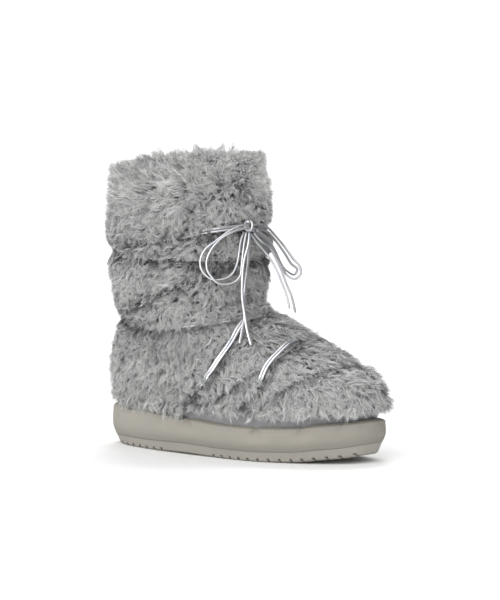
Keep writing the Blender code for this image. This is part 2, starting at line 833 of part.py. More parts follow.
def make_upper(finish):
    """One hollow shell, open at the collar and underneath, with the fur fused to its outside."""
    dice = random.Random(SEED)
    rand_clear = RAND_THICKNESS + 2 * CLEARANCE
    foot = [ring_off_last(level, 0) for level in np.linspace(0, HEM_LEVEL, 4)]
    hem = ring_off_last(HEM_LEVEL, rand_clear)
    pile = pile_rings(even_levels(HEM_LEVEL, TOP_LEVEL, FUR_RINGS), dice, lace_tree())
    inner = [ring_off_last(level, -WALL) for level in even_levels(0, TOP_LEVEL, WALL_RINGS)]
    rolled = [p + np.array([0, 0, ROLL_RISE]) for p in inner[-1]]
    rings = [*foot, hem, *pile, crown_ring(dice), rolled, *reversed(inner)]
    return lofted("upper", rings, finish, hollow=True)


def main():
    for old in list(bpy.data.objects):
        bpy.data.objects.remove(old)
    platform = material("platform", (0.39, 0.37, 0.33), 0.6)
    bottom = material("bottom", (0.37, 0.35, 0.31), 0.7)
    band = material("band", (0.29, 0.28, 0.29), 0.8)
    lining = material("lining", (0.30, 0.30, 0.31), 0.95)
    pile = material("pile", (0.32, 0.33, 0.33), 0.9)
    foil = material("foil", (0.80, 0.81, 0.83), 0.25, 0.9)
    make_outsole(bottom)
    make_midsole(platform)
    make_insole(lining)
    make_rand(band)
    make_upper(pile)
    make_lacing(foil)
    make_knot(foil)
    make_bow(foil)


main()
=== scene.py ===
"""Looks for the snow boot: deep fur, silver laces, puffy platform, studio.

Metres, +Z up, toe along -Y, +X on the inner side of the foot. The upper's shape is worked out as in
the solid model: a stack of rings, each a blunt oval between a front and a back line. A place on it
is an angle from the front, in radians towards the inner side, and a level, which counts the rings.
All functions of the shape take arrays of places.
"""

import math
from collections import namedtuple

import bmesh
import bpy
import numpy as np
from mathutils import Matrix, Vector
from mathutils import noise as soft_noise
from mathutils.kdtree import KDTree


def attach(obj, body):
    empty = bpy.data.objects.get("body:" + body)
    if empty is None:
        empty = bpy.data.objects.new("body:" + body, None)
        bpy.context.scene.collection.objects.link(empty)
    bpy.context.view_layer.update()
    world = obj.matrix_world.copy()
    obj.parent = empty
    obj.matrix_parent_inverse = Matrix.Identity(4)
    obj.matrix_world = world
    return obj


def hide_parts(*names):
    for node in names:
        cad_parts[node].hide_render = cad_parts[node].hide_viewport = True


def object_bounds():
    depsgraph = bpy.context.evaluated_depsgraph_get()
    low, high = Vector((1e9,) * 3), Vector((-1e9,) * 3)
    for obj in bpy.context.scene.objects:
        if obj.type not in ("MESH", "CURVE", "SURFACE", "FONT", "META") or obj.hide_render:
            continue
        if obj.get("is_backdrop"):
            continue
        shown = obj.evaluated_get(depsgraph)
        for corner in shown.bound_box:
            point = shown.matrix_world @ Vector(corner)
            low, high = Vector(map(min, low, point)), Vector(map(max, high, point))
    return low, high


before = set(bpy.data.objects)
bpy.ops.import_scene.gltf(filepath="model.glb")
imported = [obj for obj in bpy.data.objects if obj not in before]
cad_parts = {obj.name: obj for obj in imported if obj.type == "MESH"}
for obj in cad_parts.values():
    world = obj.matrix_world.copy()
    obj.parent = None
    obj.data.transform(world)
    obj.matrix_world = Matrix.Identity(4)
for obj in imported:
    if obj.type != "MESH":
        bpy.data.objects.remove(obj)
CAD_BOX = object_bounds()

# Sole
SOLE_LENGTH = 0.280
BALL_WIDTH = 0.112
HEEL_WIDTH = 0.0935
TOE_SHIFT = 0.0110
SOLE_BLUNTNESS = 2.5
HEEL_STACK = 0.0344
BALL_STACK = 0.0277
TOE_STACK = 0.0350
TOE_SPRING = 0.0085
ARCH_RISE = 0.0012
OUTSOLE_DEPTH = 0.0092
EDGE_TUCK = 0.0060

# Upper
LAST_LENGTH = 0.262
LAST_BALL_WIDTH = 0.098
LAST_HEEL_WIDTH = 0.076
INSTEP_RISE = 0.0966
SHAFT_DEPTH = 0.131
SHAFT_WIDTH = 0.112
SHAFT_BEHIND_MIDDLE = 0.0593
COLLAR_HEIGHT = 0.258
COLLAR_DIP = 0.018
WALL = 0.0030
HEM_LEVEL = 1.21

# Laces
CORD_DIAMETER = 0.0024
LACE_SEAT = 0.0070
PILE = 0.0120
KNOT_LEVEL = 14.07
BOW_DROP = 0.105
KNOT_RADIUS = 1.75 * CORD_DIAMETER
KNOT_PITCH = 1.30 * CORD_DIAMETER
KNOT_WINDS = 1.75

CLEARANCE = 0.0003

Station = namedtuple("Station", "along toward_ball outer inner turn")
FOOTPRINT = [
    Station(0.00, 0.00, 1.00, 1.00, 0.00),
    Station(0.15, 0.00, 1.00, 1.00, 0.00),
    Station(0.45, 0.50, 1.00, 0.90, 0.00),
    Station(0.68, 1.00, 1.00, 1.00, 0.15),
    Station(0.85, 1.00, 0.96, 0.99, 0.60),
    Station(1.00, 1.00, 0.88, 0.94, 1.00),
]

Stack = namedtuple("Stack", "along heel ball toe spring arch")
BED = [
    Stack(0.00, 1.00, 0.00, 0.00, 0.00, 0.00),
    Stack(0.22, 0.95, 0.05, 0.00, 0.00, 0.00),
    Stack(0.40, 0.50, 0.50, 0.00, 0.00, 1.00),
    Stack(0.56, 0.10, 0.90, 0.00, 0.00, 0.00),
    Stack(0.70, 0.00, 0.97, 0.03, 0.00, 0.00),
    Stack(0.80, 0.00, 0.85, 0.15, 0.10, 0.00),
    Stack(0.92, 0.00, 0.35, 0.65, 0.55, 0.00),
    Stack(1.00, 0.00, 0.00, 1.00, 1.00, 0.00),
]

SideRow = namedtuple("SideRow", "up tuck")
MIDSOLE_SIDE = [
    SideRow(0.00, 0.55),
    SideRow(0.22, 0.16),
    SideRow(0.48, 0.00),
    SideRow(0.74, 0.06),
    SideRow(0.92, 0.27),
    SideRow(1.00, 0.90),
]

# Puckers under the platform's top edge: degrees from the toe, and how deep
Pucker = namedtuple("Pucker", "angle deep")
PUCKERS = [
    Pucker(-29, 0.3),
    Pucker(-50.5, 0.8),
    Pucker(-71, 1.0),
    Pucker(-95, 1.0),
    Pucker(-106, 0.5),
    Pucker(-121, 0.3),
    Pucker(-150, 0.7),
    Pucker(-176, 0.5),
    Pucker(158, 0.6),
    Pucker(134, 0.9),
    Pucker(110, 0.7),
    Pucker(92, 0.9),
    Pucker(74, 0.8),
    Pucker(55, 1.0),
    Pucker(33, 0.5),
    Pucker(8, 0.6),
]
PUCKER_DEPTH = 0.0030
PUCKER_WIDE = 0.0085
PUCKER_NARROW = 0.0022
PUCKER_REACH = 0.011
PLATFORM_ROLL = 0.0030

FootRing = namedtuple("FootRing", "front front_up back back_up width bluntness foot")
FOOT_RINGS = [
    FootRing(0.965, 0.000, 0.950, 0.000, 1.00, 2.50, 1.00),
    FootRing(1.005, 0.100, 0.966, 0.100, 1.05, 2.50, 1.00),
    FootRing(1.008, 0.200, 0.980, 0.195, 1.07, 2.45, 0.95),
    FootRing(0.958, 0.330, 0.990, 0.290, 1.07, 2.40, 0.85),
    FootRing(0.840, 0.440, 0.990, 0.385, 1.05, 2.30, 0.70),
    FootRing(0.687, 0.543, 0.976, 0.475, 1.03, 2.20, 0.50),
    FootRing(0.519, 0.650, 0.953, 0.565, 1.01, 2.15, 0.35),
    FootRing(0.351, 0.757, 0.929, 0.655, 1.00, 2.10, 0.20),
    FootRing(0.198, 0.845, 0.908, 0.735, 0.99, 2.05, 0.08),
    FootRing(0.076, 0.915, 0.893, 0.805, 0.98, 2.00, 0.00),
]

ShaftRing = namedtuple("ShaftRing", "up depth width ahead")
SHAFT_RINGS = [
    ShaftRing(0.00, 0.885, 0.880, 0.010),
    ShaftRing(0.10, 0.925, 0.900, 0.012),
    ShaftRing(0.22, 0.970, 0.940, 0.012),
    ShaftRing(0.36, 1.000, 0.970, 0.008),
    ShaftRing(0.52, 1.000, 0.990, 0.000),
    ShaftRing(0.68, 1.000, 1.000, 0.000),
    ShaftRing(0.84, 1.000, 1.000, 0.000),
    ShaftRing(1.00, 1.000, 1.000, 0.000),
]
ANKLE_BACK_UP = 0.875
TOP_LEVEL = len(FOOT_RINGS) + len(SHAFT_RINGS) - 1

# Turns in degrees and levels along the inner half of the lacing, and how much fur lies over it.
LacePoint = namedtuple("LacePoint", "turn level cover")
LACE_ROUTE = [
    LacePoint(-715, 14.05, 0.15),
    LacePoint(-684, 13.96, 0.25),
    LacePoint(-656, 13.80, 0.75),
    LacePoint(-607, 13.75, 0.9),
    LacePoint(-575, 13.72, 0.9),
    LacePoint(-540, 13.65, 0.9),
    LacePoint(-500, 13.45, 0.9),
    LacePoint(-460, 13.20, 0.9),
    LacePoint(-425, 12.88, 0.85),
    LacePoint(-386, 12.72, 0.65),
    LacePoint(-360, 12.67, 0.55),
    LacePoint(-335, 12.40, 0.5),
    LacePoint(-293, 11.42, 0.8),
    LacePoint(-252, 10.35, 0.95),
    LacePoint(-215, 9.75, 0.95),
    LacePoint(-180, 9.35, 0.95),
    LacePoint(-145, 8.95, 0.95),
    LacePoint(-110, 8.45, 0.95),
    LacePoint(-80, 7.98, 0.95),
    LacePoint(-45, 7.98, 0.95),
    LacePoint(0, 8.25, 0.9),
    LacePoint(30, 7.60, 0.15),
    LacePoint(60, 5.90, 0.05),
    LacePoint(81, 4.10, 0.15),
    LacePoint(93, 2.40, 0.75),
    LacePoint(96, 1.85, 1.0),
    LacePoint(91, 1.85, 1.0),
    LacePoint(84, 2.50, 0.9),
    LacePoint(69, 3.72, 0.7),
    LacePoint(50, 4.70, 0.6),
    LacePoint(30, 5.45, 0.6),
    LacePoint(0, 6.14, 0.6),
    LacePoint(-33, 5.40, 0.0),
    LacePoint(-53, 4.30, 0.0),
    LacePoint(-65, 3.15, 0.4),
    LacePoint(-73, 2.30, 0.9),
    LacePoint(-76, 1.85, 1.0),
    LacePoint(-71, 1.85, 1.0),
    LacePoint(-60, 2.70, 0.9),
    LacePoint(-42, 3.58, 0.95),
    LacePoint(-20, 4.10, 0.95),
    LacePoint(0, 4.22, 0.95),
]

CordPoint = namedtuple("CordPoint", "turn drop out")
KNOT = CordPoint(-9.6, 0.00, 1.21)
BOW = {
    "left_loop_outer": [
        CordPoint(-12.3, -0.012, 1.15),
        CordPoint(-17.5, -0.005, 1.18),
        CordPoint(-23.0, 0.02, 1.22),
        CordPoint(-35.4, 0.12, 1.25),
        CordPoint(-42.3, 0.19, 1.25),
        CordPoint(-45.0, 0.27, 1.25),
        CordPoint(-44.6, 0.34, 1.25),
        CordPoint(-42.0, 0.39, 1.25),
        CordPoint(-37.4, 0.43, 1.25),
        CordPoint(-30.7, 0.43, 1.25),
        CordPoint(-24.7, 0.40, 1.25),
        CordPoint(-21.1, 0.34, 1.25),
        CordPoint(-19.0, 0.26, 1.25),
        CordPoint(-17.9, 0.17, 1.25),
        CordPoint(-16.1, 0.09, 1.22),
        CordPoint(-13.4, 0.048, 1.10),
    ],
    "left_loop_inner": [
        CordPoint(-11.6, 0.012, 1.34),
        CordPoint(-17.5, 0.022, 1.44),
        CordPoint(-24.7, 0.045, 1.52),
        CordPoint(-34.9, 0.13, 1.54),
        CordPoint(-39.3, 0.21, 1.54),
        CordPoint(-41.1, 0.28, 1.54),
        CordPoint(-40.7, 0.35, 1.54),
        CordPoint(-37.8, 0.41, 1.54),
        CordPoint(-34.0, 0.46, 1.54),
        CordPoint(-28.8, 0.47, 1.54),
        CordPoint(-22.7, 0.45, 1.54),
        CordPoint(-19.4, 0.41, 1.54),
        CordPoint(-18.1, 0.32, 1.54),
        CordPoint(-17.0, 0.21, 1.54),
        CordPoint(-15.6, 0.11, 1.52),
        CordPoint(-13.4, 0.046, 1.38),
    ],
    "right_loop_outer": [
        CordPoint(-6.6, -0.012, 1.27),
        CordPoint(4.0, 0.00, 1.32),
        CordPoint(9.0, 0.03, 1.42),
        CordPoint(14.0, 0.09, 1.65),
        CordPoint(18.0, 0.17, 2.10),
        CordPoint(20.0, 0.28, 2.74),
        CordPoint(21.0, 0.35, 3.23),
        CordPoint(21.0, 0.40, 3.31),
        CordPoint(20.0, 0.45, 2.89),
        CordPoint(19.0, 0.42, 2.33),
        CordPoint(17.0, 0.33, 1.98),
        CordPoint(12.0, 0.21, 1.72),
        CordPoint(3.0, 0.10, 1.60),
        CordPoint(-5.5, 0.032, 1.46),
    ],
    "right_loop_inner": [
        CordPoint(-6.3, 0.020, 1.18),
        CordPoint(6.0, 0.045, 1.24),
        CordPoint(14.0, 0.09, 1.32),
        CordPoint(19.5, 0.17, 1.70),
        CordPoint(23.0, 0.25, 2.08),
        CordPoint(26.0, 0.33, 2.45),
        CordPoint(27.5, 0.38, 2.87),
        CordPoint(27.0, 0.42, 2.67),
        CordPoint(24.0, 0.39, 2.20),
        CordPoint(19.0, 0.25, 1.50),
        CordPoint(10.0, 0.13, 1.20),
        CordPoint(2.0, 0.085, 1.20),
        CordPoint(-5.0, 0.050, 1.20),
    ],
    "centre_end_left": [
        CordPoint(-11.2, 0.050, 1.41),
        CordPoint(-14.4, 0.14, 1.82),
        CordPoint(-18.0, 0.29, 1.90),
        CordPoint(-19.3, 0.43, 1.96),
        CordPoint(-20.0, 0.56, 2.10),
        CordPoint(-22.4, 0.72, 3.20),
        CordPoint(-23.0, 0.84, 3.85),
        CordPoint(-23.1, 0.94, 4.50),
    ],
    "centre_end_right": [
        CordPoint(-9.9, 0.061, 1.24),
        CordPoint(-11.6, 0.14, 1.46),
        CordPoint(-13.2, 0.29, 1.56),
        CordPoint(-15.2, 0.44, 1.62),
        CordPoint(-17.0, 0.56, 1.76),
        CordPoint(-20.6, 0.72, 2.62),
        CordPoint(-24.4, 0.82, 3.42),
        CordPoint(-27.1, 0.93, 3.99),
    ],
    "right_end_outer": [
        CordPoint(-7.4, 0.057, 1.36),
        CordPoint(-3.0, 0.13, 1.74),
        CordPoint(3.0, 0.18, 1.90),
        CordPoint(6.0, 0.25, 2.06),
        CordPoint(8.0, 0.36, 2.46),
        CordPoint(9.0, 0.48, 2.83),
        CordPoint(11.0, 0.59, 3.12),
        CordPoint(13.0, 0.72, 3.28),
    ],
    "right_end_inner": [
        CordPoint(-7.8, 0.062, 1.12),
        CordPoint(-5.0, 0.13, 1.36),
        CordPoint(-1.0, 0.20, 1.66),
        CordPoint(2.0, 0.27, 2.02),
        CordPoint(3.5, 0.36, 2.44),
        CordPoint(4.5, 0.46, 2.78),
        CordPoint(6.0, 0.56, 3.05),
        CordPoint(7.5, 0.68, 3.22),
    ],
}

# The skin that the hairs grow from and the shell's lining: their faces, off the shell's outer side,
# and the rise of the lining's soft roll over the collar's rim
PELT_OUTSIDE = 0.0022
PELT_INSIDE = 0.0006
LINING_OUTSIDE = -0.0004
LINING_ROLL = 0.0040

# Laces: their height over the shell where fur covers them and at their turns beside the sole, how
# far one half lies over the other where they cross, and the two strands' size and places
SUNK_LACE = 0.0022
HIDDEN_LACE = -0.0002
CROSSING_RISE = 0.0016
CROSSING_DEGREES = 14
STRAND_RADIUS = 0.00115
STRAND_OFFSET = 0.00125
STRAND_FLATNESS = 0.6
BOW_FLATNESS = 0.72

# Fur
SEED = 11
HAIRS = 196000
RIM_HAIRS = 19000
RIM_LOCKS = 2600
HAIRS_A_PIECE = 46000
HAIR_HEIGHT = 0.0118
HAIR_WIDTH = 0.00048
ROOT_HEIGHT = 0.0010
LOCK_SPACING = 0.0021
RIM_LENGTH = 0.0110
RIM_BAND = (TOP_LEVEL - 0.05, TOP_LEVEL)

# Fur beside the laces: it is pressed into a groove, puffs up beside it and hangs over it
GROOVE_HALF_WIDTH = 0.0010
GROOVE_REACH = 0.0150
HEIGHT_IN_GROOVE = 0.0028
HEIGHT_OVER_LACE = 0.0066
HEIGHT_OF_PUFF = 0.0138
FREE_HEIGHT = 0.0300
SHORT_OF_LACE = 0.0150
SHORTEST_SHARE = 0.30
OVERHANG = 0.0050
# How far from a lace the painted shade of its groove reaches
PAINTED_VALLEY_SHADE_REACH = 0.0040

# Each lock goes three steps from its root: their shares of its length, how far it has bent over and
# curled by then, how far its hairs draw together there, and how far they stray
LockStep = namedtuple("LockStep", "share bend swing together spread")
LOCK_STEPS = [
    LockStep(0.36, 0.0, -0.5, 0.05, 0.0003),
    LockStep(0.34, 1.0, 0.8, 0.25, 0.0007),
    LockStep(0.30, 2.6, 2.4, 0.36, 0.0012),
]
LEAST_RISE = 0.58
SWEEP = 0.75
TURN_SPREAD = 0.25
LIFT_SPREAD = 0.12
CURL_SPREAD = 0.48

# How the fur differs by region: how steeply its locks stand, in radians, and how much that drifts;
# how unruly and curled they are, how fast they bend over and how tightly hairs draw together; how
# much its tone varies at random; how much painted shade darkens it in the grooves by the laces;
# and the painted shade and light along each hair: darker root and bend, lighter tip
Region = namedtuple("Region", "lift drift unruly curl fall bunch patch valley root bend tip")
OPEN = Region(1.12, 1.0, 1.0, 1.0, 0.36, 1.0, 1.15, 0.88, 0.56, 0.78, 1.15)
VAMP = Region(0.62, 0.5, 0.60, 0.8, 0.25, 0.3, 0.40, 0.60, 0.95, 1.00, 1.05)
HEM_LIFT = 1.30
DRAPE_LIFT = 0.70
HEM_SHARE = 0.75
COLLAR_FALL = 0.05
COLLAR_FRONT_LIFT = 2.45
COLLAR_SIDE_LIFT = 0.65
COLLAR_TURN = 2.2
# Painted shade at the roots and bends of the collar's hair, lighter than on open fur
COLLAR_ROOT_PAINTED_SHADE = 0.68
COLLAR_BEND_PAINTED_SHADE = 0.88
FUR_TINT = 0.42
# Painted light: how much lighter the collar's hair is made
PAINTED_COLLAR_LIGHT = 1.24
# Painted light: how much lighter the low fur on the foot is made, and how much darker the shaft's
LOW_FUR_PAINTED_LIGHT = 1.11
HIGH_FUR_PAINTED_LIGHT = 0.97
LOCK_TINT_SPREAD = 0.14
HAIR_TINT_SPREAD = 0.09
# Painted shade: how dark hair roots are made in the grooves by the laces
PAINTED_ROOT_SHADE_IN_VALLEY = 0.45

# Stretches over which one region turns into another, in levels or as the cosine of the angle
SWEPT = (2.0, 7.0)
HEM_TOP = (HEM_LEVEL, HEM_LEVEL + 0.9)
VAMP_START = (1.3, 2.8)
VAMP_END = (8.5, 10.5)
COLLAR_START = (15.0, 16.4)
# Over which the collar's painted light comes in
COLLAR_PAINTED_LIGHT_STRETCH = (15.1, 16.3)
# Over which the low fur's painted light fades out
LOW_FUR_PAINTED_LIGHT_STRETCH = (3.5, 6.5)
IN_FRONT = (-0.25, 0.35)
BEHIND = (0.05, 0.18)

# Slow changes over the fur: how strong, how wide, and where each one's pattern starts
Drift = namedtuple("Drift", "strength width start")
SWIRL = Drift(0.75, 0.011, 3.0)
WISP = Drift(0.60, 0.0050, 9.0)
LIFT_DRIFT = Drift(0.20, 0.008, 17.0)
COLLAR_DRIFT = Drift(0.22, 0.008, 53.0)
HEIGHT_DRIFT = Drift(0.10, 0.010, 29.0)
TINT_DRIFT = Drift(0.11, 0.018, 41.0)

# How the fringe on the collar's rim grows, by the angle from the front, in degrees
RimRow = namedtuple("RimRow", "angle grow")
RIM_GROWTH = [
    RimRow(-180, 0.30),
    RimRow(-165, 0.55),
    RimRow(-145, 0.80),
    RimRow(-90, 1.00),
    RimRow(-40, 0.85),
    RimRow(0, 0.50),
    RimRow(40, 0.45),
    RimRow(72, 0.55),
    RimRow(84, 1.25),
    RimRow(97, 1.55),
    RimRow(110, 1.72),
    RimRow(121, 1.72),
    RimRow(138, 1.48),
    RimRow(150, 0.95),
    RimRow(165, 0.50),
    RimRow(180, 0.40),
]

# Camera, fitted to the photograph
VIEW_AZIMUTH = -50.5
VIEW_ELEVATION = 3.8
VIEW_DISTANCE = 2.400
VIEW_TARGET = Vector((0.0, 0.0, 0.140))
FRAME_HEIGHT_PX = 600
PIXELS_PER_METRE = 1147
TARGET_LEFT_OF_MIDDLE_PX = 9.0
TARGET_ABOVE_MIDDLE_PX = 7.6
SENSOR = 36.0

# Studio: the side that shiny surfaces see bright, how the room darkens away from it, and lamps.
# A lamp's azimuth is 0 in front of the toe and turns to the inner side, in degrees.
FLOOR_REACH = 6
FLOOR_SHADE = 0.80
SKY_STRENGTH = 0.78
BACKDROP_STRENGTH = 1.2
ROOM_STRENGTH = 1.15
BRIGHT_SIDE = (-0.80, 0.50, 0.30)
ROOM_SHADES = [(0.0, (0.10, 0.10, 0.10)), (0.42, (0.24, 0.24, 0.25)), (0.68, (2.8, 2.8, 2.8))]
Sun = namedtuple("Sun", "name azimuth elevation power breadth")
SUNS = [
    Sun("key", -75, 38, 1.8, 55),
    Sun("fill", -20, 25, 0.5, 55),
    Sun("top", 120, 66, 1.3, 22),
]


def blend(a, b, share):
    return a + (b - a) * share


def smooth_step(x):
    x = np.clip(x, 0.0, 1.0)
    return x * x * (3 - 2 * x)


def past(value, stretch):
    """How far values are through a stretch: 0 before it, 1 after it and smooth between."""
    start, end = stretch
    return smooth_step((value - start) / (end - start))


def unit(vectors):
    return vectors / np.linalg.norm(vectors, axis=-1, keepdims=True)


def hermite(a, b, slope_a, slope_b, t):
    return (
        (2 * t**3 - 3 * t**2 + 1) * a
        + (t**3 - 2 * t**2 + t) * slope_a
        + (3 * t**2 - 2 * t**3) * b
        + (t**3 - t**2) * slope_b
    )


def curve_through(rows, place):
    """The smooth curve through evenly spaced rows, at places counted in rows from the first."""
    last = len(rows) - 1
    i = np.clip(place.astype(int), 0, last - 1)
    before, a, b, after = (rows[np.clip(i + k, 0, last)] for k in (-1, 0, 1, 2))
    return hermite(a, b, (b - before) / 2, (after - a) / 2, (place - i)[:, None])


def smooth_curve(rows, knots, at):
    """The smooth curve through rows of numbers that lie at uneven knots, at given places."""
    rows, knots, at = np.array(rows, float), np.array(knots, float), np.array(at, float)
    gaps = np.diff(knots)[:, None]
    rates = np.diff(rows, axis=0) / gaps
    inner = (rates[:-1] * gaps[1:] + rates[1:] * gaps[:-1]) / (gaps[:-1] + gaps[1:])
    slopes = np.vstack([rates[:1], inner, rates[-1:]])
    i = np.clip(np.searchsorted(knots, at, side="right") - 1, 0, len(knots) - 2)
    gap = gaps[i]
    t = (at - knots[i])[:, None] / gap
    return hermite(rows[i], rows[i + 1], gap * slopes[i], gap * slopes[i + 1], t)


def running_length(points):
    """The distance from the first point to each point."""
    steps = np.linalg.norm(np.diff(points, axis=0), axis=1)
    return np.concatenate([[0.0], np.cumsum(steps)])


def evenly_along(rows, place_of, step):
    """Rows at even steps of distance along the smooth curve through a table's rows."""
    knots = running_length(place_of(np.array(rows, float)))
    fine_knots = np.linspace(0, knots[-1], 10 * len(rows))
    fine = running_length(place_of(smooth_curve(rows, knots, fine_knots)))
    count = max(3, round(fine[-1] / step))
    at = np.interp(np.linspace(0, fine[-1], count + 1), fine, fine_knots)
    return smooth_curve(rows, knots, at)


def table_at(table, share, column):
    """A column of a table at shares of the table's first column."""
    rows = np.array(table)
    share = np.clip(share, rows[0, 0], rows[-1, 0])
    i = np.clip(np.searchsorted(rows[:, 0], share, side="left") - 1, 0, len(rows) - 2)
    t = (share - rows[i, 0]) / (rows[i + 1, 0] - rows[i, 0])
    t = blend(smooth_step(t), t, 0.5)
    k = table[0]._fields.index(column)
    return blend(rows[i, k], rows[i + 1, k], t)


def along_of(y):
    return 0.5 - y / SOLE_LENGTH


def bed_height(y):
    """Height of the platform's top."""
    along = along_of(y)
    return (
        table_at(BED, along, "heel") * HEEL_STACK
        + table_at(BED, along, "ball") * BALL_STACK
        + table_at(BED, along, "toe") * TOE_STACK
    )


def floor_lift(y):
    """How far the sole's underside is off the floor."""
    along = along_of(y)
    return table_at(BED, along, "spring") * TOE_SPRING + table_at(BED, along, "arch") * ARCH_RISE


def oval(angle, bluntness):
    power = 2 / bluntness
    c, s = np.cos(angle), np.sin(angle)
    return np.sign(c) * np.abs(c) ** power, np.sign(s) * np.abs(s) ** power


def footprint(angle, length, ball, heel, bluntness):
    """The foot's outline at angles, for a length and two widths."""
    forward, across = oval(angle, bluntness)
    along = (1 + forward) / 2
    half = blend(heel, ball, table_at(FOOTPRINT, along, "toward_ball")) / 2
    inner, outer = (table_at(FOOTPRINT, along, side) for side in ("inner", "outer"))
    x = across * half * np.where(across > 0, inner, outer)
    return x + table_at(FOOTPRINT, along, "turn") * TOE_SHIFT, -forward * length / 2


def sole_point(angle, tuck):
    """The sole's outline, drawn in by a tuck."""
    return footprint(
        angle, SOLE_LENGTH - 2 * tuck, BALL_WIDTH - 2 * tuck, HEEL_WIDTH - 2 * tuck, SOLE_BLUNTNESS
    )


def ring_rows():
    """Each ring as front y and z, back y and z, half width, bluntness and share of footprint."""
    half = LAST_LENGTH / 2
    rows = [
        [
            -r.front * half,
            TOE_STACK + r.front_up * INSTEP_RISE,
            r.back * half,
            HEEL_STACK + r.back_up * INSTEP_RISE,
            r.width * LAST_BALL_WIDTH / 2,
            r.bluntness,
            r.foot,
        ]
        for r in FOOT_RINGS
    ]
    ankle_front = TOE_STACK + INSTEP_RISE
    ankle_back = HEEL_STACK + ANKLE_BACK_UP * INSTEP_RISE
    for r in SHAFT_RINGS:
        middle = SHAFT_BEHIND_MIDDLE - r.ahead * SHAFT_DEPTH
        reach = r.depth * SHAFT_DEPTH / 2
        front_up = blend(ankle_front, COLLAR_HEIGHT, r.up)
        back_up = blend(ankle_back, COLLAR_HEIGHT - COLLAR_DIP, r.up)
        half_width = r.width * SHAFT_WIDTH / 2
        rows.append([middle - reach, front_up, middle + reach, back_up, half_width, 2.0, 0.0])
    return np.array(rows)


RING_ROWS = ring_rows()


def last_point(angle, level):
    """Places on the outside of the upper's wall."""
    angle, level = np.broadcast_arrays(np.asarray(angle, float), np.asarray(level, float))
    front_y, front_z, back_y, back_z, half, bluntness, foot = curve_through(RING_ROWS, level).T
    forward, across = oval(angle, bluntness)
    y = blend(back_y, front_y, (1 + forward) / 2)
    z = blend(back_z, front_z, (1 + forward) / 2)
    growth = 2 * half / LAST_BALL_WIDTH
    ball, heel = growth * LAST_BALL_WIDTH, growth * LAST_HEEL_WIDTH
    print_x, _ = footprint(angle, 1.0, ball, heel, bluntness)
    x = blend(across * half, print_x, foot)
    sag = np.maximum(0.0, 1 - level / 3)
    z = z + sag * (bed_height(y) - blend(HEEL_STACK, TOE_STACK, (1 + forward) / 2))
    return np.stack([x, y, z], axis=-1)


def last_frame(angle, level):
    """The places, the outward normals and the directions down the upper, there."""
    turn, rise = 0.01, 0.05
    angle, level = np.broadcast_arrays(np.asarray(angle, float), np.asarray(level, float))
    place = last_point(angle, level)
    around = last_point(angle + turn, level) - last_point(angle - turn, level)
    high, low = np.minimum(TOP_LEVEL, level + rise), np.maximum(0.0, level - rise)
    up = last_point(angle, high) - last_point(angle, low)
    normal = unit(np.cross(around, up))
    normal[:, 2] *= past(level, (0.5, 3.0))
    return place, unit(normal), unit(-up)


def off_last(angle, level, depth):
    """Places so far outside the upper's wall."""
    place, normal, _ = last_frame(angle, level)
    return place + normal * np.broadcast_to(depth, place.shape[:1])[:, None]


def grid_angle(share, level):
    """Angles of a ring's points, so that points lie evenly on long rings too."""
    angle = math.tau * share
    return angle + 0.2 * (1 - past(level, (5, 11))) * np.sin(2 * angle)


def ring_off_last(level, depth, points):
    angles = grid_angle(np.arange(points) / points, level)
    return off_last(angles, np.full(points, float(level)), depth)


def material(name, colour, roughness, metallic=0.0):
    """A new Principled material, with its node tree and shader."""
    made = bpy.data.materials.new(name)
    made.use_nodes = True
    shader = made.node_tree.nodes["Principled BSDF"]
    shader.inputs["Base Color"].default_value = (*colour, 1.0)
    shader.inputs["Roughness"].default_value = roughness
    shader.inputs["Metallic"].default_value = metallic
    return made, made.node_tree, shader


def add_node(tree, kind, **values):
    """A new node. Names of inputs are given with underscores for blanks."""
    node = tree.nodes.new(kind)
    for name, value in values.items():
        socket = node.inputs.get(name.replace("_", " "))
        if socket is not None:
            socket.default_value = value
        else:
            setattr(node, name, value)
    return node


def noise(tree, scale, detail, rough=0.5):
    node = add_node(tree, "ShaderNodeTexNoise", Scale=scale, Detail=detail, Roughness=rough)
    tree.links.new(object_coordinates(tree), node.inputs["Vector"])
    return node.outputs["Fac"]


def object_coordinates(tree):
    for node in tree.nodes:
        if node.bl_idname == "ShaderNodeTexCoord":
            return node.outputs["Object"]
    return tree.nodes.new("ShaderNodeTexCoord").outputs["Object"]


def ramp(tree, factor, stops):
    """A colour ramp from (place, colour) stops."""
    node = tree.nodes.new("ShaderNodeValToRGB")
    elements = node.color_ramp.elements
    while len(elements) < len(stops):
        elements.new(0.5)
    for element, (place, colour) in zip(elements, stops):
        element.position = place
        element.color = (*colour, 1.0)
    tree.links.new(factor, node.inputs["Fac"])
    return node.outputs["Color"]


def grey(shade):
    return (shade, shade, shade)


def mottle(tree, shader, factor, deep, light):
    """Lets the colour drift between two shades."""
    shade = ramp(tree, factor, [(0.3, deep), (0.7, light)])
    tree.links.new(shade, shader.inputs["Base Color"])


def bump(tree, shader, height, strength, distance):
    node = add_node(tree, "ShaderNodeBump", Strength=strength, Distance=distance)
    tree.links.new(height, node.inputs["Height"])
    tree.links.new(node.outputs["Normal"], shader.inputs["Normal"])


def fur_material():
    """Matt grey hair in each blade's own tone, with painted shade and light: darker roots, lighter
    tips.
    """
    made, tree, shader = material("fur", (0.35, 0.36, 0.36), 0.70)
    shader.inputs["Specular IOR Level"].default_value = 0.15
    shader.inputs["Sheen Weight"].default_value = 0.15
    tint_with_painted_shade = add_node(tree, "ShaderNodeAttribute", attribute_name="tint_with_painted_shade")
    tree.links.new(tint_with_painted_shade.outputs["Color"], shader.inputs["Base Color"])
    return made


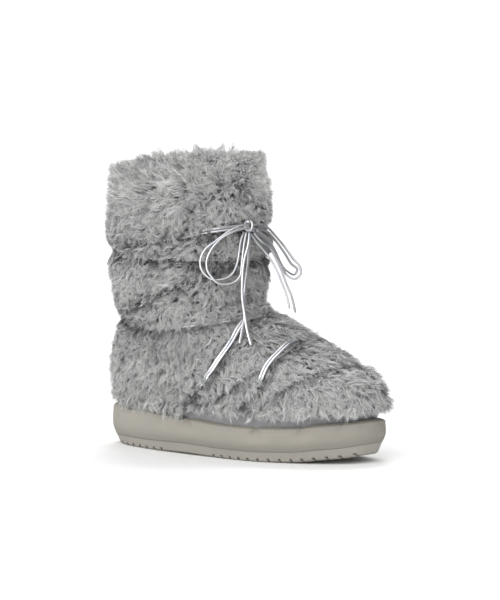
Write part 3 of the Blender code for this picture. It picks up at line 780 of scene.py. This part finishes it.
def pelt_material():
    """The dark ground between the hairs."""
    made, tree, shader = material("pelt", grey(0.16), 0.95)
    mottle(tree, shader, noise(tree, 420, 4), grey(0.11), grey(0.20))
    bump(tree, shader, noise(tree, 700, 3), 0.8, 0.001)
    return made


def lining_material():
    """Short brushed fleece."""
    made, tree, shader = material("lining", grey(0.36), 0.95)
    shader.inputs["Sheen Weight"].default_value = 0.4
    mottle(tree, shader, noise(tree, 260, 5, 0.7), grey(0.22), grey(0.40))
    bump(tree, shader, noise(tree, 600, 4, 0.7), 0.9, 0.0012)
    return made


def platform_material(name, deep, light):
    """Matt moulded foam with a faint mottle and fine pores."""
    made, tree, shader = material(name, light, 0.55)
    shader.inputs["Specular IOR Level"].default_value = 0.35
    mottle(tree, shader, noise(tree, 28, 4, 0.6), deep, light)
    bump(tree, shader, noise(tree, 1600, 2), 0.12, 0.0003)
    return made


def band_material():
    """Smooth grey backing with a fine grain."""
    made, tree, shader = material("band", (0.22, 0.22, 0.23), 0.6)
    mottle(tree, shader, noise(tree, 60, 4, 0.6), (0.20, 0.20, 0.21), (0.24, 0.24, 0.25))
    bump(tree, shader, noise(tree, 2200, 3), 0.25, 0.0003)
    return made


def foil_material():
    """Silver tape with a fine weave and a faint cool and violet play."""
    made, tree, shader = material("foil", (0.74, 0.75, 0.77), 0.30, 0.85)
    play = ramp(
        tree,
        noise(tree, 90, 2),
        [(0.30, (0.70, 0.74, 0.82)), (0.50, (0.86, 0.86, 0.87)), (0.70, (0.80, 0.76, 0.84))],
    )
    tree.links.new(play, shader.inputs["Base Color"])
    place = tree.nodes.new("ShaderNodeUVMap").outputs["UV"]
    weave = add_node(tree, "ShaderNodeTexWave", Scale=1.0, Distortion=0.6)
    tree.links.new(place, weave.inputs["Vector"])
    bump(tree, shader, weave.outputs["Fac"], 0.5, 0.0003)
    return made


def mesh_object(name, points, faces, finish, smooth=True):
    """An object from an array of points and an array of faces with equal corners."""
    mesh = bpy.data.meshes.new(name)
    count, corners = faces.shape
    mesh.vertices.add(len(points))
    mesh.vertices.foreach_set("co", points.astype(np.float32).ravel())
    mesh.loops.add(count * corners)
    mesh.loops.foreach_set("vertex_index", faces.astype(np.int32).ravel())
    mesh.polygons.add(count)
    mesh.polygons.foreach_set("loop_start", np.arange(0, count * corners, corners, dtype=np.int32))
    mesh.polygons.foreach_set("use_smooth", np.full(count, smooth))
    mesh.update(calc_edges=True)
    mesh.materials.append(finish)
    return new_object(name, mesh)


def new_object(name, data):
    made = bpy.data.objects.new(name, data)
    bpy.context.scene.collection.objects.link(made)
    return made


def ring_faces(rings, points, closed_up=False):
    """Quads between rings of equal points, and back from the last to the first if asked."""
    k = np.arange(rings if closed_up else rings - 1)[:, None]
    j = np.arange(points)[None, :]
    right, above = (j + 1) % points, (k + 1) % rings
    quad = [k * points + j, k * points + right, above * points + right, above * points + j]
    return np.stack([np.broadcast_to(q, (len(k), points)) for q in quad], axis=-1).reshape(-1, 4)


def lace_place(rows):
    return last_point(np.radians(rows[:, 0]), rows[:, 1])


LACE_ROWS = evenly_along(LACE_ROUTE, lace_place, 0.0020)


def lace_halves():
    """Both halves of the lacing: angle, level and cover along each."""
    for side in (1, -1):
        yield side, side * np.radians(LACE_ROWS[:, 0]), LACE_ROWS[:, 1], LACE_ROWS[:, 2]


def search_tree(points):
    tree = KDTree(len(points))
    for i, point in enumerate(points):
        tree.insert(point, i)
    tree.balance()
    return tree


def lace_tree():
    """A search tree of places under the laces, and the cover and the place of each."""
    points = np.vstack([last_point(angle, level) for _, angle, level, _ in lace_halves()])
    cover = np.concatenate([c for *_, c in lace_halves()])
    return search_tree(points), cover, points


def nearest(tree, points):
    """The index of and the distance to the nearest point in the tree, for each point."""
    found = [tree.find(p) for p in points]
    return np.array([f[1] for f in found]), np.array([f[2] for f in found])


def scatter(count, dice, low=HEM_LEVEL, high=TOP_LEVEL):
    """Places spread evenly over the fur's ground, as angles and levels, and the ground's area."""
    around, up = 240, 320
    angles = np.tile(np.linspace(0, math.tau, around + 1), up + 1)
    levels = np.repeat(np.linspace(low, high, up + 1), around + 1)
    grid = last_point(angles, levels).reshape(up + 1, around + 1, 3)
    sides = grid[:-1, 1:] - grid[:-1, :-1], grid[1:, :-1] - grid[:-1, :-1]
    area = np.linalg.norm(np.cross(*sides), axis=-1).ravel()
    cell = dice.choice(len(area), size=count, p=area / area.sum())
    angle = (cell % around + dice.random(count)) * math.tau / around
    level = low + (cell // around + dice.random(count)) * (high - low) / up
    return angle, level, area.sum()


def drift(points, change):
    """A slow change over places: smooth random numbers of a drift's strength, width and start."""
    offset = Vector((change.start, 0.7 * change.start, -change.start))
    waves = np.array([soft_noise.noise(Vector(p) / change.width + offset) for p in points])
    return change.strength * 1.8 * waves


Ground = namedtuple("Ground", "angle level place normal down across vamp collar hem behind")


def ground_at(angle, level):
    """Places under the fur, their frames, and how far each is in the fur's regions."""
    place, normal, down = last_frame(angle, level)
    across = unit(np.cross(down, normal))
    vamp = past(np.cos(angle), IN_FRONT) * past(level, VAMP_START) * (1 - past(level, VAMP_END))
    collar = past(level, COLLAR_START)
    hem = 1 - past(level, HEM_TOP)
    behind = past(-np.cos(angle), BEHIND)
    return Ground(angle, level, place, normal, down, across, vamp, collar, hem, behind)


def by_region(name, vamp):
    """A column of the regions' table, from open ground to the vamp."""
    return blend(getattr(OPEN, name), getattr(VAMP, name), vamp)


def side_share(angle):
    """Which side places are on: -1 on the outer, 1 on the inner, 0 in front and behind."""
    return np.tanh(7 * np.sin(angle))


def lock_turns(ground, dice, rim):
    """Which way each lock lies: 0 is down the boot, and away from its front by the sweep."""
    sweep = -SWEEP * np.sin(ground.angle) * past(ground.level, SWEPT) * (1 - 0.6 * ground.collar)
    unruly = drift(ground.place, SWIRL) + drift(ground.place, WISP)
    unruly = unruly + dice.normal(0, TURN_SPREAD, len(unruly))
    turn = sweep + unruly * by_region("unruly", ground.vamp)
    if rim:
        return turn
    return turn - COLLAR_TURN * ground.collar * side_share(ground.angle)


def lock_lifts(ground, dice, rim):
    """How steeply each lock stands over the ground, in radians."""
    count = len(ground.place)
    lift = by_region("lift", ground.vamp)
    lift = lift + by_region("drift", ground.vamp) * drift(ground.place, LIFT_DRIFT)
    lift = blend(lift, blend(HEM_LIFT, DRAPE_LIFT, ground.behind), ground.hem)
    lift = lift + dice.normal(0, LIFT_SPREAD, count)
    if rim:
        return dice.uniform(2.0, 3.3, count)
    stand = blend(COLLAR_FRONT_LIFT, COLLAR_SIDE_LIFT, np.abs(side_share(ground.angle)))
    return blend(lift, stand + drift(ground.place, COLLAR_DRIFT), ground.collar)


def lock_lengths(ground, rise, dice, rim):
    """Each lock's length, for the share of it that rises over the ground."""
    count = len(ground.place)
    tall = HAIR_HEIGHT * (1 + drift(ground.place, HEIGHT_DRIFT)) * dice.uniform(0.90, 1.06, count)
    turned = np.degrees(np.mod(ground.angle + math.pi, math.tau) - math.pi)
    growth = table_at(RIM_GROWTH, turned, "grow")
    if rim:
        return RIM_LENGTH * growth * dice.uniform(0.8, 1.1, count)
    length = tall / np.maximum(LEAST_RISE, rise)
    length = length * blend(1.0, blend(HEM_SHARE, 1.0, ground.behind), ground.hem)
    return length * blend(1.0, growth, ground.collar**2)


def lock_lines(ground, dice, rim):
    """The way that each lock lies, and its middle line, as three steps from its root."""
    turn = lock_turns(ground, dice, rim)
    lift = lock_lifts(ground, dice, rim)
    fall = blend(OPEN.fall, VAMP.fall, np.maximum(ground.vamp, ground.hem))
    fall = blend(fall, COLLAR_FALL, ground.collar)
    slopes = [lift - fall * step.bend for step in LOCK_STEPS]
    rise = sum(step.share * np.sin(slope) for step, slope in zip(LOCK_STEPS, slopes))
    length = lock_lengths(ground, rise, dice, rim)
    curl = dice.normal(0, CURL_SPREAD, len(turn)) * by_region("curl", ground.vamp)
    reach, line = 0.0, []
    for step, slope in zip(LOCK_STEPS, slopes):
        lie = lying(ground, turn + curl * step.swing)
        ahead = lie * np.cos(slope)[:, None] + ground.normal * np.sin(slope)[:, None]
        reach = reach + ahead * (step.share * length)[:, None]
        line.append(reach)
    return lying(ground, turn), line


def lying(ground, turn):
    """Directions along the ground, turned from straight down the boot."""
    return ground.down * np.cos(turn)[:, None] + ground.across * np.sin(turn)[:, None]


def press(places, height, tree, low):
    """Heights of points over the ground, kept down near the laces."""
    _, gap = nearest(tree, places)
    away = np.clip((gap - GROOVE_HALF_WIDTH) / GROOVE_REACH, 0, 1)
    most = low + (HEIGHT_OF_PUFF - low) * np.sqrt(1 - (1 - away) ** 2)
    return np.minimum(height, np.where(away < 1, most, FREE_HEIGHT))


def hair_points(ground, locks, dice, lacing, rim=False):
    """Four points of each hair: root, two bends and tip. Also its lock, and how much painted shade
    it gets for lying near a lace.
    """
    lock_lie, line = lock_lines(locks, dice, rim)
    lock, _ = nearest(search_tree(locks.place), ground.place)
    apart = ground.place - locks.place[lock]
    tree, cover, lace_places = lacing
    lace, _ = nearest(tree, locks.place)
    uphill = np.sum((lace_places[lace] - locks.place) * lock_lie, axis=1) > 0
    over = (dice.random(len(uphill)) < cover[lace]) & uphill
    low = np.where(over, HEIGHT_OVER_LACE, HEIGHT_IN_GROOVE)[lock]
    _, gap = nearest(tree, ground.place)
    room = gap + np.where(over[lock], OVERHANG, 0.0)
    held = np.where(uphill[lock], np.clip(room / SHORT_OF_LACE, SHORTEST_SHARE, 1.0), 1.0)
    count = len(gap)
    grow = ((1.0 if rim else held) * dice.uniform(0.84, 1.06, count))[:, None]
    bunch = blend(OPEN.bunch, VAMP.bunch, np.maximum(ground.vamp, ground.collar))[:, None]
    loose = (1 + 0.6 * ground.collar)[:, None]
    points = [ground.place + ground.normal * ROOT_HEIGHT]
    for step, reach in zip(LOCK_STEPS, line):
        point = reach[lock] * grow - apart * step.together * bunch
        point = point + dice.normal(0, step.spread, (count, 3)) * loose
        height = np.sum(point * ground.normal, axis=1)
        foot = ground.place + point - ground.normal * height[:, None]
        if not rim:
            height = press(foot, height, tree, low)
        points.append(foot + ground.normal * height[:, None])
    # Painted shade: hairs rooted beside a lace are darkened for the shade in its groove
    valley = np.zeros(count) if rim else 1 - past(gap, (0, PAINTED_VALLEY_SHADE_REACH))
    return points, lock, valley


def make_fur(finish):
    """Leaning, wavy hairs as narrow blades, drawn together into locks, parted by the laces."""
    dice = np.random.default_rng(SEED)
    lacing = lace_tree()
    *_, area = scatter(1, dice)
    locks = ground_at(*scatter(int(area / LOCK_SPACING**2), dice)[:2])
    angle, level, _ = scatter(HAIRS, dice)
    order = np.argsort(level)
    ground = ground_at(angle[order], level[order])
    pieces = []
    hairs = [(ground, locks, *hair_points(ground, locks, dice, lacing))]
    locks = ground_at(*scatter(RIM_LOCKS, dice, *RIM_BAND)[:2])
    ground = ground_at(*scatter(RIM_HAIRS, dice, *RIM_BAND)[:2])
    hairs.append((ground, locks, *hair_points(ground, locks, dice, lacing, rim=True)))
    for ground, locks, points, lock, valley in hairs:
        shades = hair_tints_with_painted_shade(ground, locks, lock, valley, dice)
        corners = blade_corners(points, ground.normal, dice)
        for start in range(0, len(corners), HAIRS_A_PIECE):
            part = slice(start, start + HAIRS_A_PIECE)
            name = f"fur_{len(pieces) + 1}"
            pieces.append(blade_piece(name, corners[part], shades[part], finish))
    return pieces


def hair_tints_with_painted_shade(ground, locks, lock, valley, dice):
    """Each hair's lightness at root, bends and tip: its own tone, varied at random, times painted
    shade and light.
    """
    # Painted light on the collar: its hair lighter and its roots and bends less shaded
    vamp, rim = ground.vamp, past(ground.level, COLLAR_PAINTED_LIGHT_STRETCH)
    # Painted light: low fur on the foot lighter, higher fur a shade darker
    low = 1 - past(ground.level, LOW_FUR_PAINTED_LIGHT_STRETCH)
    patch = drift(locks.place, TINT_DRIFT) + dice.normal(0, LOCK_TINT_SPREAD, len(locks.place))
    patch = patch[lock] + dice.normal(0, HAIR_TINT_SPREAD, len(lock))
    tint_with_painted_shade = FUR_TINT * (1 + patch * by_region("patch", vamp))
    # Painted shade in the grooves beside the laces, here and on the roots below
    tint_with_painted_shade = tint_with_painted_shade * (1 - by_region("valley", vamp) * valley)
    tint_with_painted_shade = tint_with_painted_shade * blend(1.0, PAINTED_COLLAR_LIGHT, rim) * blend(HIGH_FUR_PAINTED_LIGHT, LOW_FUR_PAINTED_LIGHT, low)
    tint_with_painted_shade = np.clip(tint_with_painted_shade, 0.05, 0.9)
    # Painted shade: roots and bends darker for the shade down among the hairs; painted light: tips
    # lighter
    root = np.maximum(blend(OPEN.root, COLLAR_ROOT_PAINTED_SHADE, rim), by_region("root", vamp))
    root = root * blend(1.0, PAINTED_ROOT_SHADE_IN_VALLEY, valley)
    bend = np.maximum(blend(OPEN.bend, COLLAR_BEND_PAINTED_SHADE, rim), by_region("bend", vamp))
    return np.stack([tint_with_painted_shade * root, tint_with_painted_shade * bend, tint_with_painted_shade, tint_with_painted_shade * by_region("tip", vamp)], axis=1)


def blade_corners(points, normal, dice):
    """Six corners of each hair's blade: root, a pair at each bend, tip."""
    root, first, second, tip = points
    count = len(root)
    ahead = unit(tip - root)
    face = unit(normal - ahead * np.sum(normal * ahead, axis=1)[:, None])
    spin = dice.normal(0, 0.35, count)[:, None]
    wide = unit(np.cross(ahead, face) * np.cos(spin) + face * np.sin(spin))
    half = (0.5 * HAIR_WIDTH * dice.uniform(0.7, 1.3, count))[:, None]
    pair = wide * half
    return np.stack(
        [root, first - pair, first + pair, second - pair * 0.9, second + pair * 0.9, tip], axis=1
    )


def blade_piece(name, corners, shades, finish):
    """One joined mesh of blades, with a lightness at each corner that holds painted shade and
    light.
    """
    count = len(corners)
    pattern = np.array([[0, 1, 2], [1, 4, 2], [1, 3, 4], [3, 5, 4]])
    faces = (pattern[None] + 6 * np.arange(count)[:, None, None]).reshape(-1, 3)
    piece = mesh_object(name, corners.reshape(-1, 3), faces, finish, smooth=False)
    colours = np.ones((count * 6, 4), np.float32)
    grey = shades[:, [0, 1, 1, 2, 2, 3]].reshape(-1)
    colours[:, :3] = grey[:, None] * np.array([0.99, 1.0, 0.985])
    layer = piece.data.color_attributes.new("tint_with_painted_shade", "FLOAT_COLOR", "POINT")
    layer.data.foreach_set("color", colours.ravel())
    return piece


def make_shell(name, levels, outside, inside, finish, rim_rise=None):
    """A closed wall round the boot between two depths off the last, with a roll on top if asked."""
    points = 120
    outer = [ring_off_last(level, outside, points) for level in levels]
    inner = [ring_off_last(level, inside, points) for level in reversed(levels)]
    if rim_rise:
        outer.append(0.5 * (outer[-1] + inner[0]) + np.array([0, 0, rim_rise]))
    rings = np.array(outer + inner)
    return mesh_object(name, rings.reshape(-1, 3), ring_faces(len(rings), points, True), finish)


def tube(name, path, radius, finish, sides, flatness=1.0, flat_side=None):
    """A round or flattened cord along a path, with closed ends and a map along its length."""
    path = np.asarray(path)
    ahead = unit(np.gradient(path, axis=0))
    side = carried_along(ahead) if flat_side is None else unit(np.cross(ahead, flat_side))
    other = np.cross(ahead, side)
    turn = np.linspace(0, math.tau, sides, endpoint=False)
    ring = (
        side[:, None] * np.cos(turn)[None, :, None]
        + other[:, None] * (np.sin(turn) * flatness)[None, :, None]
    )
    swell = np.ones(len(path))
    swell[[0, -1]] = 0.6
    points = path[:, None] + ring * radius * swell[:, None, None]
    ends = np.array([path[0] - ahead[0] * 0.3 * radius, path[-1] + ahead[-1] * 0.3 * radius])
    faces = [tuple(f) for f in ring_faces(len(path), sides)]
    first, base = len(path) * sides, (len(path) - 1) * sides
    for j in range(sides):
        faces.append((first, (j + 1) % sides, j))
        faces.append((first + 1, base + j, base + (j + 1) % sides))
    mesh = bpy.data.meshes.new(name)
    mesh.from_pydata([tuple(p) for p in np.vstack([points.reshape(-1, 3), ends])], [], faces)
    mesh.polygons.foreach_set("use_smooth", np.ones(len(faces), bool))
    map_along(mesh, running_length(path) / (2 * radius), sides)
    mesh.materials.append(finish)
    return new_object(name, mesh)


def carried_along(ahead):
    """Directions square to a path, carried along it without a twist."""
    side = np.zeros_like(ahead)
    side[0] = unit(np.cross(ahead[0], [0.3, 0.2, 1.0]))
    for i in range(1, len(ahead)):
        side[i] = unit(side[i - 1] - ahead[i] * np.dot(side[i - 1], ahead[i]))
    return side


def map_along(mesh, along, sides):
    """A map that runs along a tube in widths of it, and once around it."""
    layer = mesh.uv_layers.new(name="along")
    for loop in mesh.loops:
        vertex = loop.vertex_index
        ring = vertex // sides if vertex < len(along) * sides else 0
        layer.data[loop.index].uv = (along[ring], (vertex % sides) / sides)


def make_laces(finish):
    """The doubled tape over the vamp and round the shaft, one strand beside the other."""
    made = []
    for side, angle, level, cover in lace_halves():
        place, normal, _ = last_frame(angle, level)
        depth = lace_depth(angle, level, cover, side)
        across = unit(np.cross(normal, unit(np.gradient(place, axis=0))))
        for strand in (-1, 1):
            path = place + normal * depth[:, None] + across * strand * STRAND_OFFSET
            name = f"lace_{'inner' if side > 0 else 'outer'}_{'a' if strand < 0 else 'b'}"
            made.append(tube(name, path, STRAND_RADIUS, finish, 8, STRAND_FLATNESS, normal))
    return made


def lace_depth(angle, level, cover, side):
    """How high the tape lies over the shell. One half lies over the other in front and behind."""
    depth = blend(LACE_SEAT, SUNK_LACE, past(cover, (0, 0.6))) + 0.5 * CORD_DIAMETER
    depth = blend(depth, HIDDEN_LACE, past(cover, (0.85, 1.0)) * (level < 3))
    if side < 0:
        return depth
    turns = np.degrees(np.abs(angle)) % 360
    at_front = np.minimum(turns, 360 - turns)
    crossings = (np.exp(-(((at_front - at) / CROSSING_DEGREES) ** 2)) for at in (0, 180))
    return depth + CROSSING_RISE * sum(crossings)


def beside_shaft(rows):
    """Places beside an upright shaft as wide as the one at the knot, below the knot."""
    angle = np.radians(rows[:, 0])
    level = np.full(len(rows), KNOT_LEVEL)
    place = last_point(angle, level)
    around = last_point(angle + 0.01, level) - last_point(angle - 0.01, level)
    outward = unit(np.stack([around[:, 1], -around[:, 0], 0 * angle], axis=-1))
    place = place + outward * rows[:, 2:3] * PILE
    place[:, 2] = last_point([0.0], [KNOT_LEVEL])[0, 2] - rows[:, 1] * BOW_DROP
    return place


def make_knot(finish):
    """The knot: cord wound round the start of the loops."""
    centre, further = beside_shaft(np.array([KNOT, (KNOT.turn, KNOT.drop, KNOT.out + 1)], float))
    outward = unit(further - centre)
    up = np.array([0.0, 0.0, 1.0])
    across = np.cross(up, outward)
    wind = KNOT_WINDS * (np.linspace(0, 1, round(24 * KNOT_WINDS)) - 0.5)[:, None]
    path = (
        centre
        + outward * KNOT_RADIUS * np.cos(math.tau * wind)
        + up * KNOT_RADIUS * np.sin(math.tau * wind)
        + across * KNOT_PITCH * wind
    )
    made = tube("bow_knot", path, CORD_DIAMETER / 2, finish, 12)
    declare_cord(made, "knot", path, "object")


def declare_cord(made, node, path, far_end):
    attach(made, "root")
    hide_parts(node)
    tuple(path[0])
    running_length(path)[-1]


def make_bow(finish):
    """Two doubled loops and two doubled ends, hung from the knot."""
    for name, rows in BOW.items():
        path = beside_shaft(evenly_along(rows, beside_shaft, 0.0015))
        made = tube(f"bow_{name}", path, CORD_DIAMETER / 2, finish, 12, BOW_FLATNESS)
        declare_cord(made, name, path, "object" if "loop" in name else "bare")


def pucker_depth(angles, up):
    """How far the platform's side is drawn in by the puckers under its top edge."""
    drawn = np.zeros(len(angles))
    x, y = sole_point(angles, 0)
    spread = blend(PUCKER_WIDE, PUCKER_NARROW, past(up, (0.45, 0.95)))
    fade = past(up, (0.30, 0.90))
    for pucker in PUCKERS:
        at_x, at_y = sole_point(np.radians([pucker.angle]), 0)
        away = np.hypot(x - at_x, y - at_y)
        fold = np.exp(-((away / spread) ** 2)) + 0.35 * np.exp(-((away / PUCKER_REACH) ** 2))
        drawn += pucker.deep * PUCKER_DEPTH * fade * fold
    return drawn


def make_midsole(finish):
    """The puffy platform, gathered into soft puckers under its top edge."""
    points = 600
    ups = 1 - (1 - np.linspace(0, 1, 26)) ** 1.4
    side = np.array(MIDSOLE_SIDE)
    tucks = smooth_curve(side[:, 1:], side[:, 0], ups)[:, 0]
    angles = grid_angle(np.arange(points) / points, 0)
    rings = []
    for up, tuck in zip(ups, tucks):
        x, y = sole_point(angles, np.clip(tuck, 0, 1) * EDGE_TUCK + pucker_depth(angles, up))
        low = floor_lift(y) + OUTSOLE_DEPTH - CLEARANCE
        high = bed_height(y) + PLATFORM_ROLL
        rings.append(np.stack([x, y, blend(low, high, up)], axis=-1))
    faces = ring_faces(len(rings), points)
    made = mesh_object("platform", np.array(rings).reshape(-1, 3), faces, finish)
    close_ends(made, points, len(rings))
    return made


def close_ends(made, points, rings):
    """Caps the first and the last ring with one face each."""
    maker = bmesh.new()
    maker.from_mesh(made.data)
    maker.verts.ensure_lookup_table()
    start = (rings - 1) * points
    for cap in (reversed(range(points)), range(start, start + points)):
        maker.faces.new([maker.verts[i] for i in cap]).smooth = False
    maker.to_mesh(made.data)
    maker.free()


def from_middle(azimuth, elevation):
    """The direction towards a camera or lamp. Azimuth is 0 in front of the toe, in degrees."""
    turn, rise = math.radians(azimuth), math.radians(elevation)
    return Vector(
        (math.sin(turn) * math.cos(rise), -math.cos(turn) * math.cos(rise), math.sin(rise))
    )


def make_camera():
    camera = new_object("camera", bpy.data.cameras.new("camera"))
    back = from_middle(VIEW_AZIMUTH, VIEW_ELEVATION)
    camera.location = VIEW_TARGET + back * VIEW_DISTANCE
    camera.rotation_euler = back.to_track_quat("Z", "Y").to_euler()
    camera.data.sensor_width = SENSOR
    camera.data.lens = SENSOR * VIEW_DISTANCE * PIXELS_PER_METRE / FRAME_HEIGHT_PX
    camera.data.shift_x = TARGET_LEFT_OF_MIDDLE_PX / FRAME_HEIGHT_PX
    camera.data.shift_y = -TARGET_ABOVE_MIDDLE_PX / FRAME_HEIGHT_PX
    camera.data.clip_end = 50
    bpy.context.scene.camera = camera


def make_studio():
    """A pale floor, an even sky and soft lamps."""
    finish, _, shader = material("floor", grey(FLOOR_SHADE), 0.9)
    shader.inputs["Specular IOR Level"].default_value = 0.1
    corners = FLOOR_REACH * np.array([[-1, -1, 0], [1, -1, 0], [1, 1, 0], [-1, 1, 0]], float)
    floor = mesh_object("floor", corners, np.array([[0, 1, 2, 3]]), finish, smooth=False)
    floor.visible_glossy = False
    floor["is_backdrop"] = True
    make_sky()
    bpy.context.scene.view_settings.view_transform = "Standard"
    for sun in SUNS:
        add_sun(sun)


def make_sky():
    """An even sky, with a plain backdrop for the camera and a room for shiny surfaces."""
    world = bpy.data.worlds.new("studio")
    world.use_nodes = True
    tree = world.node_tree
    sky = tree.nodes["Background"]
    sky.inputs["Color"].default_value = (1, 1, 1, 1)
    sky.inputs["Strength"].default_value = SKY_STRENGTH
    room = add_node(tree, "ShaderNodeBackground", Strength=ROOM_STRENGTH)
    toward = add_node(tree, "ShaderNodeVectorMath", operation="DOT_PRODUCT")
    toward.inputs[1].default_value = BRIGHT_SIDE
    tree.links.new(tree.nodes.new("ShaderNodeTexCoord").outputs["Generated"], toward.inputs[0])
    tree.links.new(ramp(tree, toward.outputs["Value"], ROOM_SHADES), room.inputs["Color"])
    backdrop = add_node(
        tree, "ShaderNodeBackground", Color=(1, 1, 1, 1), Strength=BACKDROP_STRENGTH
    )
    rays = tree.nodes.new("ShaderNodeLightPath").outputs
    lit = mixed(tree, rays["Is Glossy Ray"], sky, room)
    whole = mixed(tree, rays["Is Camera Ray"], lit, backdrop)
    tree.links.new(whole.outputs[0], tree.nodes["World Output"].inputs["Surface"])
    bpy.context.scene.world = world


def mixed(tree, share, first, second):
    """A shader between the first and the second node's."""
    node = tree.nodes.new("ShaderNodeMixShader")
    for socket, source in zip(node.inputs, (share, first.outputs[0], second.outputs[0])):
        tree.links.new(source, socket)
    return node


def add_sun(sun):
    """Wide, soft light from far away."""
    lamp = bpy.data.lights.new(sun.name, "SUN")
    lamp.angle = math.radians(sun.breadth)
    lamp.energy = sun.power
    made = new_object(sun.name, lamp)
    made.rotation_euler = from_middle(sun.azimuth, sun.elevation).to_track_quat("Z", "Y").to_euler()
    made.visible_glossy = False


def main():
    make_camera()
    make_studio()
    foil, lining = foil_material(), lining_material()
    make_knot(foil)
    make_bow(foil)
    for piece in make_fur(fur_material()):
        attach(piece, "root")
    levels = np.linspace(HEM_LEVEL, TOP_LEVEL, 54)
    pelt = make_shell("pelt", levels, PELT_OUTSIDE, PELT_INSIDE, pelt_material())
    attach(pelt, "root")
    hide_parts("upper")
    levels = np.linspace(0, TOP_LEVEL, 40)
    inside = make_shell("lining", levels, LINING_OUTSIDE, -WALL, lining, LINING_ROLL)
    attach(inside, "root")
    laces = make_laces(foil)
    for piece in laces:
        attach(piece, "root")
    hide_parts("lace_wraps")
    foam = platform_material("platform", (0.245, 0.232, 0.202), (0.262, 0.248, 0.215))
    platform = make_midsole(foam)
    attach(platform, "root")
    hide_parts("midsole")
    # The outsole: the platform's foam, made lighter as painted light against the shade low by the
    # floor
    bottom = platform_material("bottom", (0.308, 0.294, 0.262), (0.335, 0.320, 0.283))
    for name, finish in (("outsole", bottom), ("rand", band_material()), ("insole", lining)):
        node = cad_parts[name]
        node.data.materials.clear()
        node.data.materials.append(finish)


main()
boxes = {"cad": CAD_BOX, "visual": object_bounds()}
{k: [[float(v) for v in corner] for corner in box] for k, box in boxes.items()}
